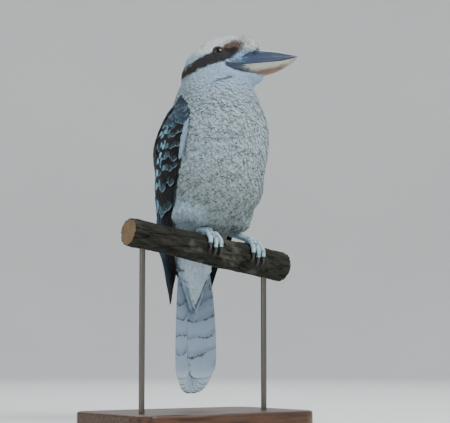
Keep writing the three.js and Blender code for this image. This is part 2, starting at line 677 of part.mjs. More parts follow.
function meshOf(name, made, finish) {
  const mesh = largest(made).getMesh();
  const points = new Float32Array(mesh.numVert * 3);
  for (let i = 0; i < mesh.numVert; i++)
    points.set(mesh.vertProperties.subarray(i * mesh.numProp, i * mesh.numProp + 3), 3 * i);
  const geometry = new THREE.BufferGeometry()
    .setAttribute("position", new THREE.BufferAttribute(points, 3))
    .setIndex(new THREE.BufferAttribute(mesh.triVerts, 1));
  const [color, roughness, metalness] = FINISHES[finish];
  const shape = new THREE.Mesh(geometry, new THREE.MeshStandardMaterial({ color, roughness, metalness }));
  shape.name = name;
  shape.position.x = name === "stand_base" ? 0 : BIRD_X;
  return shape;
}

const kookaburra = new THREE.Group();
for (const [name, [made, finish]] of Object.entries(solids)) kookaburra.add(meshOf(name, made, finish));
export default kookaburra;
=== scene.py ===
"""Looks of a laughing kookaburra on a cut branch and a plain display stand.

Lengths are millimetres until a mesh is made. The bird's breast faces -Y and its left side is +X.
One skin lies inside the coat. Every feather is a closed thin vane on the skin, the wing or the tail.
"""

import math
from types import SimpleNamespace

import bmesh
import bpy
import numpy as np
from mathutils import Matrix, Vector, noise
from mathutils.bvhtree import BVHTree


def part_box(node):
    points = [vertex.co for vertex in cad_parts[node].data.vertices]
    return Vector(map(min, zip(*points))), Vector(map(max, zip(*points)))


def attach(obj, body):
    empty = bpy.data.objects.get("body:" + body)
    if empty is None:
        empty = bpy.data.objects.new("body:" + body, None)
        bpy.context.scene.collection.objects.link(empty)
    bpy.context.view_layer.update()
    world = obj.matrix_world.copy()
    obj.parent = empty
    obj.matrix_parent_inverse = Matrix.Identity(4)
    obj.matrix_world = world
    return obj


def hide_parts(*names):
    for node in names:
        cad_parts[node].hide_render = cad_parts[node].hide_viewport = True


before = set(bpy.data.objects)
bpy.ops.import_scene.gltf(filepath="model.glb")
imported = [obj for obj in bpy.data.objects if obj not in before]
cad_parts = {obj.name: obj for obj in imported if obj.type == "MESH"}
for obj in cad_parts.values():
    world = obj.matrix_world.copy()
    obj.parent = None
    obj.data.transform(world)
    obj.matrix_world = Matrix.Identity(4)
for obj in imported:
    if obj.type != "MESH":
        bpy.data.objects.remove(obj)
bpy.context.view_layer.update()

MM = 0.001
BIRD_X = 12.0
HEAD = {"place": (14.0, -25.0, 397.5), "turn": 47.0, "pitch": 8.0}
EYE = {"along": 2.6, "up": 9.5, "out": 18.6, "radius": 8.0}
SKIN = {"voxel": 1.6, "smooth": 9, "swell": 0.25, "bill_reach": 58.0}
HANDS = {"left": 1, "right": -1}
FULL_TURN = 2 * math.pi
RNG = np.random.default_rng(11)


# Small helpers on arrays

def unit(v):
    return v / np.maximum(np.linalg.norm(v, axis=-1, keepdims=True), 1e-9)


def dot(a, b):
    return np.sum(a * b, axis=-1)


def ramp(x, low, high):
    """0 at low, 1 at high, smooth between and level beyond. low may be above high."""
    t = np.clip((np.asarray(x, float) - low) / (high - low), 0, 1)
    return t * t * (3 - 2 * t)


def band(x, low, high, soft):
    """1 between low and high, 0 outside."""
    return ramp(x, low - soft, low + soft) * ramp(x, high + soft, high - soft)


def bell(x, wide):
    return np.exp(-(x / wide) ** 2)


def blend(a, b, t):
    return a + (b - a) * t


def mixed(a, b, t):
    """Colour a where t is 0, colour b where t is 1."""
    t = np.asarray(t)[..., None]
    return np.asarray(a) * (1 - t) + np.asarray(b) * t


def srgb(red, green, blue):
    """Linear colour of a display colour given from 0 to 255."""
    c = np.array([red, green, blue]) / 255
    return np.where(c <= 0.04045, c / 12.92, ((c + 0.055) / 1.055) ** 2.4)


def wobble(points, size, seed):
    """Smooth noise from -1 to 1 at each point, with features of about that size."""
    shift = Vector((seed, seed * 1.7, -seed))
    values = [noise.noise(Vector(p) / size + shift) for p in points.reshape(-1, 3)]
    return 1.6 * np.array(values).reshape(points.shape[:-1])


# Meshes

def in_scene(name, data):
    made = bpy.data.objects.new(name, data)
    bpy.context.scene.collection.objects.link(made)
    return made


def points_of(piece):
    co = np.zeros(len(piece.data.vertices) * 3, np.float32)
    piece.data.vertices.foreach_get("co", co)
    return co.reshape(-1, 3).astype(float) / MM


def set_points(piece, points):
    piece.data.vertices.foreach_set("co", (points * MM).astype(np.float32).ravel())
    piece.data.update()


def normals_of(piece):
    n = np.zeros(len(piece.data.vertices) * 3, np.float32)
    piece.data.vertex_normals.foreach_get("vector", n)
    return n.reshape(-1, 3).astype(float)


def make_mesh(name, points, quads):
    """New smooth object from points in millimetres and rows of four point numbers."""
    mesh = bpy.data.meshes.new(name)
    mesh.vertices.add(len(points))
    mesh.vertices.foreach_set("co", (points * MM).astype(np.float32).ravel())
    mesh.loops.add(quads.size)
    mesh.loops.foreach_set("vertex_index", quads.astype(np.int32).ravel())
    mesh.polygons.add(len(quads))
    mesh.polygons.foreach_set("loop_start", np.arange(0, quads.size, 4, dtype=np.int32))
    mesh.polygons.foreach_set("use_smooth", np.ones(len(quads), bool))
    mesh.update(calc_edges=True)
    return in_scene(name, mesh)


def closed_grid(rows, around):
    """Quads of a tube of rows, each with that many points around it."""
    index = np.arange(rows * around).reshape(rows, around)
    right = np.roll(index, -1, axis=1)
    corners = (index[:-1], index[1:], right[1:], right[:-1])
    return np.stack([c.ravel() for c in corners], axis=1)


def cap_ends(piece, rows, around):
    bm = bmesh.new()
    bm.from_mesh(piece.data)
    bm.verts.ensure_lookup_table()
    for start in (0, (rows - 1) * around):
        face = bm.faces.new([bm.verts[start + i] for i in range(around)])
        face.smooth = False
    bmesh.ops.recalc_face_normals(bm, faces=bm.faces)
    bm.to_mesh(piece.data)
    bm.free()


def store(piece, name, values, kind="FLOAT_VECTOR", field="vector"):
    layer = piece.data.attributes.new(name, kind, "POINT")
    layer.data.foreach_set(field, values.astype(np.float32).ravel())


def paint(piece, tint):
    """Stores the colour of each point, or one colour for all of them."""
    values = np.ones((len(piece.data.vertices), 4))
    values[:, :3] = tint
    store(piece, "tint", values, "FLOAT_COLOR", "color")


def set_uv(piece, name, values):
    """One UV pair a point, written to every corner that uses the point."""
    layer = piece.data.uv_layers.new(name=name)
    corners = np.zeros(len(piece.data.loops), np.int32)
    piece.data.loops.foreach_get("vertex_index", corners)
    layer.data.foreach_set("uv", values[corners].astype(np.float32).ravel())


def finish_piece(piece, material, replaces=()):
    piece.data.materials.clear()
    piece.data.materials.append(material)
    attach(piece, "root")
    if replaces:
        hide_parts(*replaces)


def cad_mesh(node):
    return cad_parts[node].data


def tree_of(*nodes):
    """Search tree of CAD nodes, in millimetres."""
    points, faces = [], []
    for node in nodes:
        start = len(points)
        points.extend((v.co / MM)[:] for v in cad_mesh(node).vertices)
        faces.extend(tuple(start + i for i in p.vertices) for p in cad_mesh(node).polygons)
    return BVHTree.FromPolygons(points, faces)


def distances(tree, points):
    return np.array([tree.find_nearest(p)[3] for p in points.tolist()])


def remeshed(name, nodes, voxel, smooth, change=None):
    """A smooth closed copy of CAD nodes, joined, each point first moved by change."""
    bm = bmesh.new()
    for node in nodes:
        bm.from_mesh(cad_mesh(node))
    mesh = bpy.data.meshes.new(name)
    bm.to_mesh(mesh)
    bm.free()
    piece = in_scene(name, mesh)
    if change:
        set_points(piece, change(points_of(piece), normals_of(piece)))
    cells = piece.modifiers.new("cells", "REMESH")
    cells.mode = "VOXEL"
    cells.voxel_size = voxel * MM
    soft = piece.modifiers.new("soft", "SMOOTH")
    soft.factor = 0.5
    soft.iterations = smooth
    made = bpy.data.meshes.new_from_object(piece.evaluated_get(bpy.context.evaluated_depsgraph_get()))
    piece.modifiers.clear()
    piece.data = made
    made.polygons.foreach_set("use_smooth", np.ones(len(made.polygons), bool))
    return piece


class Surface:
    """Nearest points on a mesh, with the soft normals of its faces."""

    def __init__(self, piece):
        self.points = points_of(piece)
        self.faces = [tuple(p.vertices) for p in piece.data.polygons]
        self.tree = BVHTree.FromPolygons(self.points.tolist(), self.faces)
        soft = normals_of(piece)
        self.normals = unit(np.array([soft[list(f)].mean(0) for f in self.faces]))

    def nearest(self, points):
        found = [self.tree.find_nearest(p) for p in points.tolist()]
        face = np.array([f[2] for f in found])
        return np.array([f[0] for f in found]), self.normals[face], face


# The head's own axes: forwards along the bill, to its left, and up

def head_axes():
    turn, pitch = math.radians(HEAD["turn"]), math.radians(HEAD["pitch"])
    level = np.array([math.sin(turn), -math.cos(turn), 0])
    left = np.array([math.cos(turn), math.sin(turn), 0])
    forward = level * math.cos(pitch) + np.array([0, 0, math.sin(pitch)])
    return forward, left, np.cross(forward, left)


FORWARD, LEFT, UP = head_axes()
HEAD_PLACE = np.array(HEAD["place"])


def in_head(points):
    """Places along the bill's line, to the head's left, and up, from the head's own middle."""
    d = points - HEAD_PLACE
    return d @ FORWARD, d @ LEFT, d @ UP


def from_head(along, left, up):
    outer = np.multiply.outer
    return HEAD_PLACE + outer(along, FORWARD) + outer(left, LEFT) + outer(up, UP)


# The trunk's axis, for angles round the body: 0 at the breast, positive to the bird's left
AXIS = {"z": (125.0, 175.0, 212.0, 255.0, 308.0, 354.0), "y": (30.0, 22.0, 8.0, -7.0, -19.0, -23.5)}


def axis_y(z):
    return np.interp(z, AXIS["z"], AXIS["y"])


def body_angle(points):
    return np.degrees(np.arctan2(points[..., 0] - BIRD_X, -(points[..., 1] - axis_y(points[..., 2]))))


# Colours of the plumage

CREAM = srgb(202, 210, 208)
WHITE = srgb(194, 214, 228)
BREAST = srgb(162, 179, 187)
BELLY = srgb(146, 160, 163)
# CHEEK is pale plumage made darker and bluer than the crown: partly its own colour, partly painted shade
# under the head.
CHEEK = srgb(154, 180, 202)
THIGH = srgb(176, 202, 220)
LORES = srgb(114, 154, 190)
MASK = srgb(30, 22, 21)
PATCH = srgb(80, 48, 30)
PATCH_DARK = srgb(30, 22, 20)
MANTLE = srgb(46, 37, 33)
RUMP = srgb(96, 112, 122)

# Lines on the head: heights over the way along the bill's line
MASK_TOP = {"along": (-42, -24, 1.5, 9, 14, 30), "up": (-0.5, 4, 12.5, 13.5, 13, 14)}
MASK_LOW = {"along": (-42, -25, -5, 10, 16, 20, 25, 29), "up": (-12, -8.5, -4, -1.5, -1.5, 2, 7, 12)}
PATCH_TOP = {"along": (8, 14, 24, 33), "up": (15, 20.5, 21.5, 19)}
PATCH_LOW = {"along": (8, 14, 24, 29, 33), "up": (12, 9, 6, 8, 13)}
BILL_EDGE = {"along": (10, 26, 60, 84), "up": (-3, -7.5, -8.2, -6.1)}
BILL_KEEL = {"along": (10, 34, 60, 78, 88), "up": (-12, -20.4, -19, -12.9, -6)}
JAW_FOLD = {"up": -24.4, "rise": 0.22, "along": (-4, 17)}

FLESH = ("torso", "neck", "head", "thigh_left", "thigh_right")
BILL = ("bill_upper", "bill_lower")
EYES = ("eye_left", "eye_right")
BILL_TREE = tree_of(*BILL)
THIGH_TREE = tree_of("thigh_left", "thigh_right")
WING_TREE = tree_of("wing_left", "wing_right")


def line_up(line, along):
    return np.interp(along, line["along"], line["up"])


def between(low, top, along, up, soft):
    """1 between two lines on the head, 0 outside them."""
    return band(up, line_up(low, along), line_up(top, along), soft)


def on_thigh(points):
    """1 on the feathered thighs, 0 away from them."""
    low = points[:, 2] < 262
    far = np.full(len(points), 99.0)
    far[low] = distances(THIGH_TREE, points[low])
    return ramp(far + 2.0 * wobble(points, 9.0, 4.4), 8.0, 1.0)


def jaw_fold(points):
    """Signed distance from the crease under each cheek, and how strongly the crease shows there."""
    along, left, up = in_head(points)
    line = JAW_FOLD["up"] + JAW_FOLD["rise"] * along
    shows = band(along, *JAW_FOLD["along"], 4.0) * ramp(np.abs(left), 7, 12) * ramp(points[:, 2], 355, 362)
    return up - line, shows


def read_places(points):
    """What the colours depend on at each point: its place and two sizes of noise."""
    along, left, up = in_head(points)
    z = points[:, 2]
    return SimpleNamespace(
        points=points, along=along, left=left, up=up, z=z,
        head=ramp(z, 356, 376),
        behind=ramp(np.abs(body_angle(points)), 96, 122),
        rough=wobble(points, 5.0, 3.1),
        fine=wobble(points, 1.7, 8.3),
    )


def ground_tint(at):
    """Breast, belly, vent, nape, cheeks and crown without their marks."""
    tint = mixed(BREAST, BELLY, ramp(at.z, 300, 262))
    tint = mixed(tint, WHITE, ramp(at.z, 214, 202))
    tint = mixed(tint, CREAM, 0.7 * at.behind * ramp(at.z, 330, 352))
    # Cheeks and throat: pale plumage with painted shade under the head.
    tint = mixed(tint, CHEEK, at.head * (1 - 0.75 * ramp(-at.along, 4, 26)))
    return mixed(tint, CREAM, at.head * ramp(at.up + 0.25 * at.along, 2, 10))


def head_marks(tint, at):
    """Streaks on the crown, blue lores, the brown patch before the eye and the dark mask."""
    streak = ramp(at.up, 14, 24) * ramp(wobble(at.points * (1, 1, 0.6), 1.9, 5.0), 0.3, 0.65)
    tint = mixed(tint, PATCH, 0.5 * at.head * streak * ramp(at.along, -38, -20))
    lores = band(at.along, 16, 46, 3) * ramp(at.up, 12, 5) * ramp(at.up, -6, -2)
    tint = mixed(tint, LORES, 0.85 * at.head * lores)

    patch = between(PATCH_LOW, PATCH_TOP, at.along, at.up + 1.2 * at.rough + at.fine, 1.8)
    patch = at.head * patch * band(at.along + 2 * at.rough, 9, 32, 2.5)
    shade = mixed(PATCH, PATCH_DARK, ramp(at.fine - 0.06 * (at.up - 14), 0.0, 0.7))
    tint = mixed(tint, shade, 0.93 * patch)

    mask = between(MASK_LOW, MASK_TOP, at.along, at.up + 0.9 * at.rough, 0.9)
    mask = at.head * mask * ramp(at.along, 29, 25) * ramp(np.abs(at.left), 5, 10)
    return mixed(tint, mixed(MASK, PATCH, 0.25 * ramp(-at.along, 8, 30)), 0.96 * mask)


def marking(points):
    """Colour of the plumage at each point, and how strongly its feathers carry thin dark crescents."""
    at = read_places(points)
    tint = head_marks(ground_tint(at), at)
    mantle = at.behind * ramp(at.z + 5 * at.rough, 352, 338)
    tint = mixed(tint, MANTLE, 0.95 * mantle)
    tint = mixed(tint, RUMP, mantle * ramp(at.z, 240, 215))

    outer_right = ramp(-body_angle(points), 18, 34)
    thigh = on_thigh(points) * np.where(points[:, 0] < BIRD_X, outer_right, at.behind)
    tint = mixed(tint, THIGH, thigh * (0.62 + 0.14 * wobble(points * (1, 1, 0.4), 3.2, 6.4)))
    # Painted shade: the tint is darkened in a narrow band along the crease under each cheek, where the fold
    # throws its shadow.
    off, crease = jaw_fold(points)
    tint = tint * (1 - 0.85 * crease * bell(off, 1.4))[:, None]

    breast = ramp(at.z, 380, 358) * ramp(at.z, 208, 226) * (1 - at.behind) * (1 - thigh)
    throat = 0.3 * at.head * ramp(at.up, -14, -24) * ramp(at.along, 8, -12)
    scales = np.clip(breast * (0.9 + 0.4 * at.rough) + throat, 0, 1)
    return tint * (1 + 0.05 * at.fine + 0.04 * at.rough)[:, None], scales


# The skin under the coat

# How far the skin moves to the photograph's right at the left hip, by height
HIP = {
    "right": (0.819, -0.574), "aside": (24, 40),
    "z": (204, 213, 224, 233, 243, 256, 275), "move": (0, -0.5, -3, 1, 4, 3.2, 0),
}


def hip_move(points):
    aside = (points[:, 0] - BIRD_X) * HIP["right"][0] + points[:, 1] * HIP["right"][1]
    move = np.interp(points[:, 2], HIP["z"], HIP["move"]) * ramp(aside, *HIP["aside"])
    return np.outer(move, (*HIP["right"], 0))


def coat_depth(points):
    """How deep the skin lies under the coat's outside."""
    along, _, _ = in_head(points)
    z = points[..., 2]
    face = ramp(along, -20, 12) * ramp(z, 368, 384)
    return blend(blend(2.7, 1.5, ramp(z, 352, 384)), 0.95, face)


def unwrap(skin):
    bpy.ops.object.select_all(action="DESELECT")
    skin.select_set(True)
    bpy.context.view_layer.objects.active = skin
    bpy.ops.object.mode_set(mode="EDIT")
    bpy.ops.mesh.select_all(action="SELECT")
    bpy.ops.uv.smart_project(angle_limit=math.radians(66), island_margin=0.004)
    bpy.ops.object.mode_set(mode="OBJECT")
    skin.data.uv_layers[0].name = "unwrap"


def build_skin():
    """Solids of the flesh in one skin, drawn in by the coat's depth, with a crease under each cheek."""
    def ready(points, normals):
        over = np.maximum(in_head(points)[0] - SKIN["bill_reach"], 0) * (points[:, 2] > 340)
        return points + normals * SKIN["swell"] - over[:, None] * FORWARD

    skin = remeshed("skin", FLESH + BILL + EYES, SKIN["voxel"], SKIN["smooth"], ready)
    points = points_of(skin)
    off, crease = jaw_fold(points)
    fold = crease * (0.9 * bell(off - 5, 4) - 1.7 * bell(off, 1.3))
    inside = points - normals_of(skin) * (coat_depth(points) + SKIN["swell"] - fold)[:, None]
    set_points(skin, inside + hip_move(points))
    unwrap(skin)
    return skin


def face_places(skin):
    """Middle of each skin face in the unwrap."""
    corners = np.zeros(len(skin.data.loops) * 2, np.float32)
    skin.data.uv_layers["unwrap"].data.foreach_get("uv", corners)
    corners = corners.reshape(-1, 2)
    return np.array([corners[list(p.loop_indices)].mean(0) for p in skin.data.polygons])


# Vanes: closed thin plates on a spine, one grid above and one below that share their rim

def vane_grid(rows, columns):
    """Quads of one vane. Points run over the upper grid, then over the inside of the lower one."""
    upper = np.arange(rows * columns).reshape(rows, columns)
    lower = upper.copy()
    inner = np.arange((rows - 2) * (columns - 2)).reshape(rows - 2, columns - 2)
    lower[1:-1, 1:-1] = rows * columns + inner

    def quads(grid):
        corners = (grid[:-1, :-1], grid[:-1, 1:], grid[1:, 1:], grid[1:, :-1])
        return np.stack([c.ravel() for c in corners], axis=1)

    return np.concatenate([quads(upper), quads(lower)[:, ::-1]])


def vanes(name, spine, normal, side, along, half, height, shape):
    """One joined mesh of many vanes, each point's place on its vane, which are below, and points a vane.

    spine, normal, side and along are (vanes, rows, 3), half and height (vanes, rows).
    shape gives the rows' shares and widths, the columns across, the fall of the edges, how far the tip is
    drawn back at the edges, how uneven the tip is, the plate's thickness and the shaft's height.
    """
    columns = np.array(shape["columns"])
    count, rows = spine.shape[:2]
    wide = len(columns)
    shaft = shape["shaft"] * (np.abs(columns) < 0.05)
    taper = np.linspace(0, 1, rows)[None, :, None]
    lift = height[..., None] - shape["camber"] * columns ** 2 * half[..., None] + shaft * (1 - 0.7 * taper)
    back = shape["round"] * columns ** 2 * half[..., None] * taper
    ragged = shape["ragged"] * RNG.uniform(-1, 1, (count, 1, wide)) * taper ** 3
    top = (
        spine[:, :, None] + side[:, :, None] * (half[..., None] * columns)[..., None]
        + normal[:, :, None] * lift[..., None] - along[:, :, None] * (back + ragged)[..., None]
    )
    thick = shape["thick"] * (1 - 0.6 * taper) * (1 - 0.7 * np.abs(columns))
    low = top - normal[:, :, None] * (thick + shaft * 1.6)[..., None]
    points = np.concatenate([top.reshape(count, -1, 3), low[:, 1:-1, 1:-1].reshape(count, -1, 3)], axis=1)
    each = points.shape[1]
    faces = (vane_grid(rows, wide)[None] + (np.arange(count) * each)[:, None, None]).reshape(-1, 4)
    piece = make_mesh(name, points.reshape(-1, 3), faces)
    grid = np.stack(np.broadcast_arrays(columns[None, :], np.array(shape["rows"])[:, None]), axis=-1)
    local = np.concatenate([grid.reshape(-1, 2), grid[1:-1, 1:-1].reshape(-1, 2)])
    under = np.concatenate([np.zeros(rows * wide), np.ones((rows - 2) * (wide - 2))])
    return piece, np.tile(local, (count, 1)), np.tile(under, count), each


def dress(piece, local, tint, marks, size, bake):
    """Stores what the plumage material reads. tint, marks and size have a row a vane or a row a point."""
    def each_point(values):
        return np.repeat(values, len(local) // len(values), axis=0)

    paint(piece, each_point(tint))
    store(piece, "marks", each_point(marks))
    store(piece, "size", each_point(size))
    set_uv(piece, "vane", np.stack([0.5 + 0.5 * local[:, 0], local[:, 1]], axis=1))
    set_uv(piece, "OFBake", bake)


def patch_places(places, local, each):
    """Bake map of short feathers: a small patch for each, at its root's place in the skin's unwrap."""
    patch = 0.0015
    spread = np.stack([local[:, 0] * patch, (local[:, 1] - 0.5) * 2 * patch], axis=1)
    return np.repeat(places, each, axis=0) + spread


def sheet_places(count, local, under, each):
    """Bake map of long feathers: a cell of a sheet for each, the underside beside the top."""
    across = math.ceil(math.sqrt(2 * count))
    cell = np.repeat(np.arange(count) * 2, each) + under.astype(int)
    corner = np.stack([cell % across, cell // across], axis=1)
    inside = np.stack([0.5 + 0.44 * local[:, 0], 0.06 + 0.88 * local[:, 1]], axis=1)
    return (corner + inside) / across


# Contour feathers over the skin

CREST = 4.6
RAGGED = 0.06
PIECE_FEATHERS = 1600
CONTOUR = {
    "rows": (0, 0.3, 0.54, 0.74, 0.89, 0.97, 1),
    "wide": (0.42, 0.84, 1, 0.92, 0.66, 0.36, 0.2),
    "columns": (-1, -0.86, -0.3, 0.3, 0.86, 1),
    "camber": 0.13, "round": 0.3, "thick": 0.09, "shaft": 0,
}


def flow(points, normals):
    """The lie of the coat over the skin: back from the bill, down the neck and body, back under the belly."""
    along, _, up = in_head(points)
    z = points[..., 2]
    head = ramp(z, 358, 384) * ramp(along, -42, -8)
    down = np.zeros_like(points)
    down[..., 2] = -1
    down[..., 1] = 0.15 + 0.9 * ramp(z, 246, 216) * ramp(z, 176, 196)
    back = -FORWARD - UP * 0.35 * ramp(up, 8, -14)[..., None]
    way = mixed(unit(down), 0, head) + unit(back) * head[..., None]
    return unit(way - normals * dot(way, normals)[..., None])


def crest(points):
    """1 on the forehead just behind the bill, where the feathers stand up, 0 elsewhere."""
    along, _, up = in_head(points)
    return ramp(along, 28, 44) * ramp(along, 60, 52) * ramp(up, 3, 11)


def spacing(points):
    """Distance between feathers' roots: small on the face, wide on the low body."""
    along, _, _ = in_head(points)
    z = points[..., 2]
    body = blend(2.75, 3.3, ramp(z, 215, 190))
    face = ramp(along, -14, 18) * ramp(z, 372, 386)
    return blend(blend(body, 1.95, ramp(z, 340, 376)), 1.35, face) * (1 - 0.2 * crest(points))


def scatter(skin, surface):
    """Seeded places on the skin, none nearer to another than the spacing there asks."""
    tries, nearest_share = 9, 0.86
    corner = surface.points[np.array([f[:3] for f in surface.faces])]
    fourth = surface.points[np.array([f[-1] for f in surface.faces])]
    area = np.array([p.area for p in skin.data.polygons])
    want = area / spacing(corner.mean(1)) ** 2
    picks = RNG.choice(len(want), size=int(want.sum() / MM ** 2 * tries), p=want / want.sum())
    s, t = RNG.random(len(picks)), RNG.random(len(picks))
    a, b, c, d = corner[picks, 0], corner[picks, 1], corner[picks, 2], fourth[picks]
    points = blend(blend(a, b, s[:, None]), blend(d, c, s[:, None]), t[:, None])
    gaps = spacing(points)
    keys = np.floor(points / gaps.max()).astype(int)
    near = [(i, j, k) for i in (-1, 0, 1) for j in (-1, 0, 1) for k in (-1, 0, 1)]
    grid, kept = {}, []
    for index, (point, gap, key) in enumerate(zip(points.tolist(), gaps.tolist(), keys.tolist())):
        limit = (gap * nearest_share) ** 2
        px, py, pz = point
        cells = ((key[0] + i, key[1] + j, key[2] + k) for i, j, k in near)
        others = (other for cell in cells for other in grid.get(cell, ()))
        if all((x - px) ** 2 + (y - py) ** 2 + (z - pz) ** 2 >= limit for x, y, z in others):
            grid.setdefault(tuple(key), []).append(point)
            kept.append(index)
    return points[kept]


def walk(surface, roots, lengths, shares, turn):
    """Spines that start at the roots and follow the coat's lie over the surface."""
    place, normal, face = surface.nearest(roots)
    way = flow(place, normal)
    way = unit(way + np.cross(normal, way) * np.tan(turn)[:, None])
    spine, normals, along = [place], [normal], [way]
    for step in np.diff(shares):
        place, normal, _ = surface.nearest(spine[-1] + along[-1] * (lengths * step)[:, None])
        way = unit(0.75 * along[-1] + 0.25 * flow(place, normal))
        spine.append(place)
        normals.append(unit(normals[-1] * 0.5 + normal * 0.5))
        along.append(unit(way - normal * dot(way, normal)[:, None]))
    return np.stack(spine, 1), np.stack(normals, 1), np.stack(along, 1), face


def contour_feathers(name, surface, roots, places):
    """Short feathers from the roots. On the head their colour changes along each feather."""
    count = len(roots)
    gap, raised, depth = spacing(roots), crest(roots), coat_depth(roots)
    tail_end = ramp(roots[:, 2], 212, 188)
    long = gap * RNG.uniform(3.4, 4.4, count) * (1 + 0.35 * on_thigh(roots) + 0.9 * tail_end) + 5.0 * raised
    wide = gap * RNG.uniform(1.8, 2.3, count) * (1 + 0.6 * raised)
    shape = dict(CONTOUR, ragged=RAGGED * long.mean())
    shares = np.array(shape["rows"])
    turn = RNG.normal(0, 0.16, count) * (1 - 0.6 * tail_end)
    spine, normal, along, face = walk(surface, roots, long, shares, turn)
    stand = depth * RNG.uniform(0.72, 1.0, count) * (1 - 0.5 * tail_end)
    stand = stand + CREST * raised * RNG.uniform(0.88, 1, count)
    height = -0.3 * depth[:, None] + (stand + 0.3 * depth)[:, None] * shares[None] ** 0.55
    half = 0.5 * wide[:, None] * np.array(shape["wide"])[None]
    side = unit(np.cross(normal, along))
    piece, local, _, each = vanes(name, spine, normal, side, along, half, height, shape)
    tint, scales = marking(roots)
    if name.startswith("coat_head"):
        tint = blend(np.repeat(tint, each, axis=0), marking(points_of(piece))[0], 0.7)
    tint = tint * np.repeat(RNG.uniform(0.93, 1.05, count), len(tint) // count)[:, None]
    marks = np.stack([scales, np.zeros(count), np.zeros(count)], axis=1)
    size = np.stack([long, wide, RNG.random(count)], axis=1)
    dress(piece, local, tint, marks, size, patch_places(places[face], local, each))
    finish_piece(piece, plumage_material())


# Where no contour feather grows: this near to the bill, but only ahead of a place on the head and above a
# height, this deep under the wing, and this near to the eyeball
BARE = {"bill": 0.9, "ahead": 8, "above": 360, "wing": 13.0, "eye": 3}


def coat_roots(skin, surface):
    """Where contour feathers grow: not on the bill, on the eyes and lids, or under the folded wings."""
    roots = scatter(skin, surface)
    place, normal, _ = surface.nearest(roots)
    along, _, _ = in_head(roots)
    outside = roots + normal * coat_depth(roots)[:, None]
    hidden = distances(BILL_TREE, outside) < BARE["bill"]
    hidden &= (along > BARE["ahead"]) & (roots[:, 2] > BARE["above"])
    rays = zip((roots - normal).tolist(), normal.tolist())
    hidden |= np.array([WING_TREE.ray_cast(p, n, BARE["wing"])[0] is not None for p, n in rays])
    reach = 2.6 * spacing(roots)
    way = flow(place, normal)
    for hand in HANDS.values():
        middle, gaze = eye_place(hand)
        for share in (0, 0.35, 0.7):
            off = roots + way * (reach * share)[:, None] - middle
            close = np.linalg.norm(off, axis=1) < EYE["radius"] + BARE["eye"]
            hidden |= close & (dot(unit(off), gaze) > math.cos(math.radians(LID["feathers"])))
    return roots[~hidden]


# Eyes and lids

GAZE = (0.3, 1.0, 0.16)
PUPIL = srgb(5, 4, 4)
IRIS = srgb(30, 18, 14)
EYE_RING = srgb(12, 9, 8)
LID_TINT = srgb(26, 22, 22)
LID = {"low": 29.0, "wide": 7.0, "feathers": 43.0}
# Angle off the opening's rim and height over the eyeball, out over the folds, then back under them
LID_FOLDS = (
    (-3, 0.05), (-0.5, 0.3), (1.5, 0.5), (4, 0.5), (6, 0.32), (8.5, 0.45), (13, 0.4), (22, 0.1), (38, -1.0),
)
LID_UNDER = (38, 12, -3)


def eye_place(hand):
    middle = from_head(EYE["along"], hand * EYE["out"], EYE["up"])
    return middle, unit(FORWARD * GAZE[0] + LEFT * hand * GAZE[1] + UP * GAZE[2])


def round_gaze(hand, off, angle, radius):
    """Points of a sphere at an angle off the gaze, and an angle round it from the front."""
    middle, gaze = eye_place(hand)
    front = unit(FORWARD - gaze * dot(FORWARD, gaze))
    above = unit(UP - gaze * dot(UP, gaze) - front * dot(UP, front))
    ring = np.cos(angle)[..., None] * front + np.sin(angle)[..., None] * above
    ray = np.cos(off)[..., None] * gaze + np.sin(off)[..., None] * ring
    return middle + ray * np.asarray(radius)[..., None]


def build_eye(hand, name, node):
    """Ball with a raised cornea. Its tint holds the pupil, the dark brown iris and the ring round it."""
    rows, around = 40, 48
    off = np.linspace(0.015, math.pi - 0.015, rows)
    angle = np.linspace(0, FULL_TURN, around, endpoint=False)
    off, angle = np.meshgrid(off, angle, indexing="ij")
    turn = np.degrees(off)
    points = round_gaze(hand, off, angle, EYE["radius"] + 0.15 * ramp(turn, 42, 10)).reshape(-1, 3)
    piece = make_mesh(name, points, closed_grid(rows, around))
    cap_ends(piece, rows, around)
    tint = mixed(PUPIL, IRIS, ramp(turn.ravel(), 14, 16))
    paint(piece, mixed(tint, EYE_RING, ramp(turn.ravel(), 26, 34)))
    finish_piece(piece, mottled("eye_material"), (node,))


def build_lids(hand, name):
    """Rim and soft folds of skin round the opening of the eye."""
    around = 56
    angle = np.linspace(0, FULL_TURN, around, endpoint=False)
    opening = LID["low"] + LID["wide"] * np.cos(angle) ** 2
    pucker = 0.06 * np.sin(angle * 17) + 0.05 * np.sin(angle * 29 + 1)
    rings = [(off, EYE["radius"] + out + pucker * (off > 0)) for off, out in LID_FOLDS]
    rings += [(off, np.full(around, EYE["radius"] - 0.6)) for off in LID_UNDER]
    points = np.concatenate([round_gaze(hand, np.radians(opening + off), angle, out) for off, out in rings])
    index = np.arange(around)
    last = (len(rings) - 1) * around
    close = np.stack([last + index, index, np.roll(index, -1), last + np.roll(index, -1)], axis=1)
    piece = make_mesh(name, points, np.concatenate([closed_grid(len(rings), around), close]))
    paint(piece, LID_TINT)
    finish_piece(piece, mottled("lid_material"))


# Bill

UPPER_DARK = srgb(28, 50, 78)
UPPER_PALE = srgb(58, 94, 132)
UPPER_TIP = srgb(28, 34, 42)
BILL_BASE = srgb(104, 146, 184)
CUTTING_EDGE = srgb(20, 26, 40)
NOSTRIL_DARK = srgb(14, 15, 18)
LOWER_CREAM = srgb(164, 168, 156)
LOWER_BROWN = srgb(116, 86, 62)
LOWER_SLATE = srgb(34, 44, 72)
NOSTRIL = {"along": 41.0, "up": 3.5, "long": 4.2, "high": 1.3}
BILL_MESH = {"voxel": 0.42, "smooth": 4}


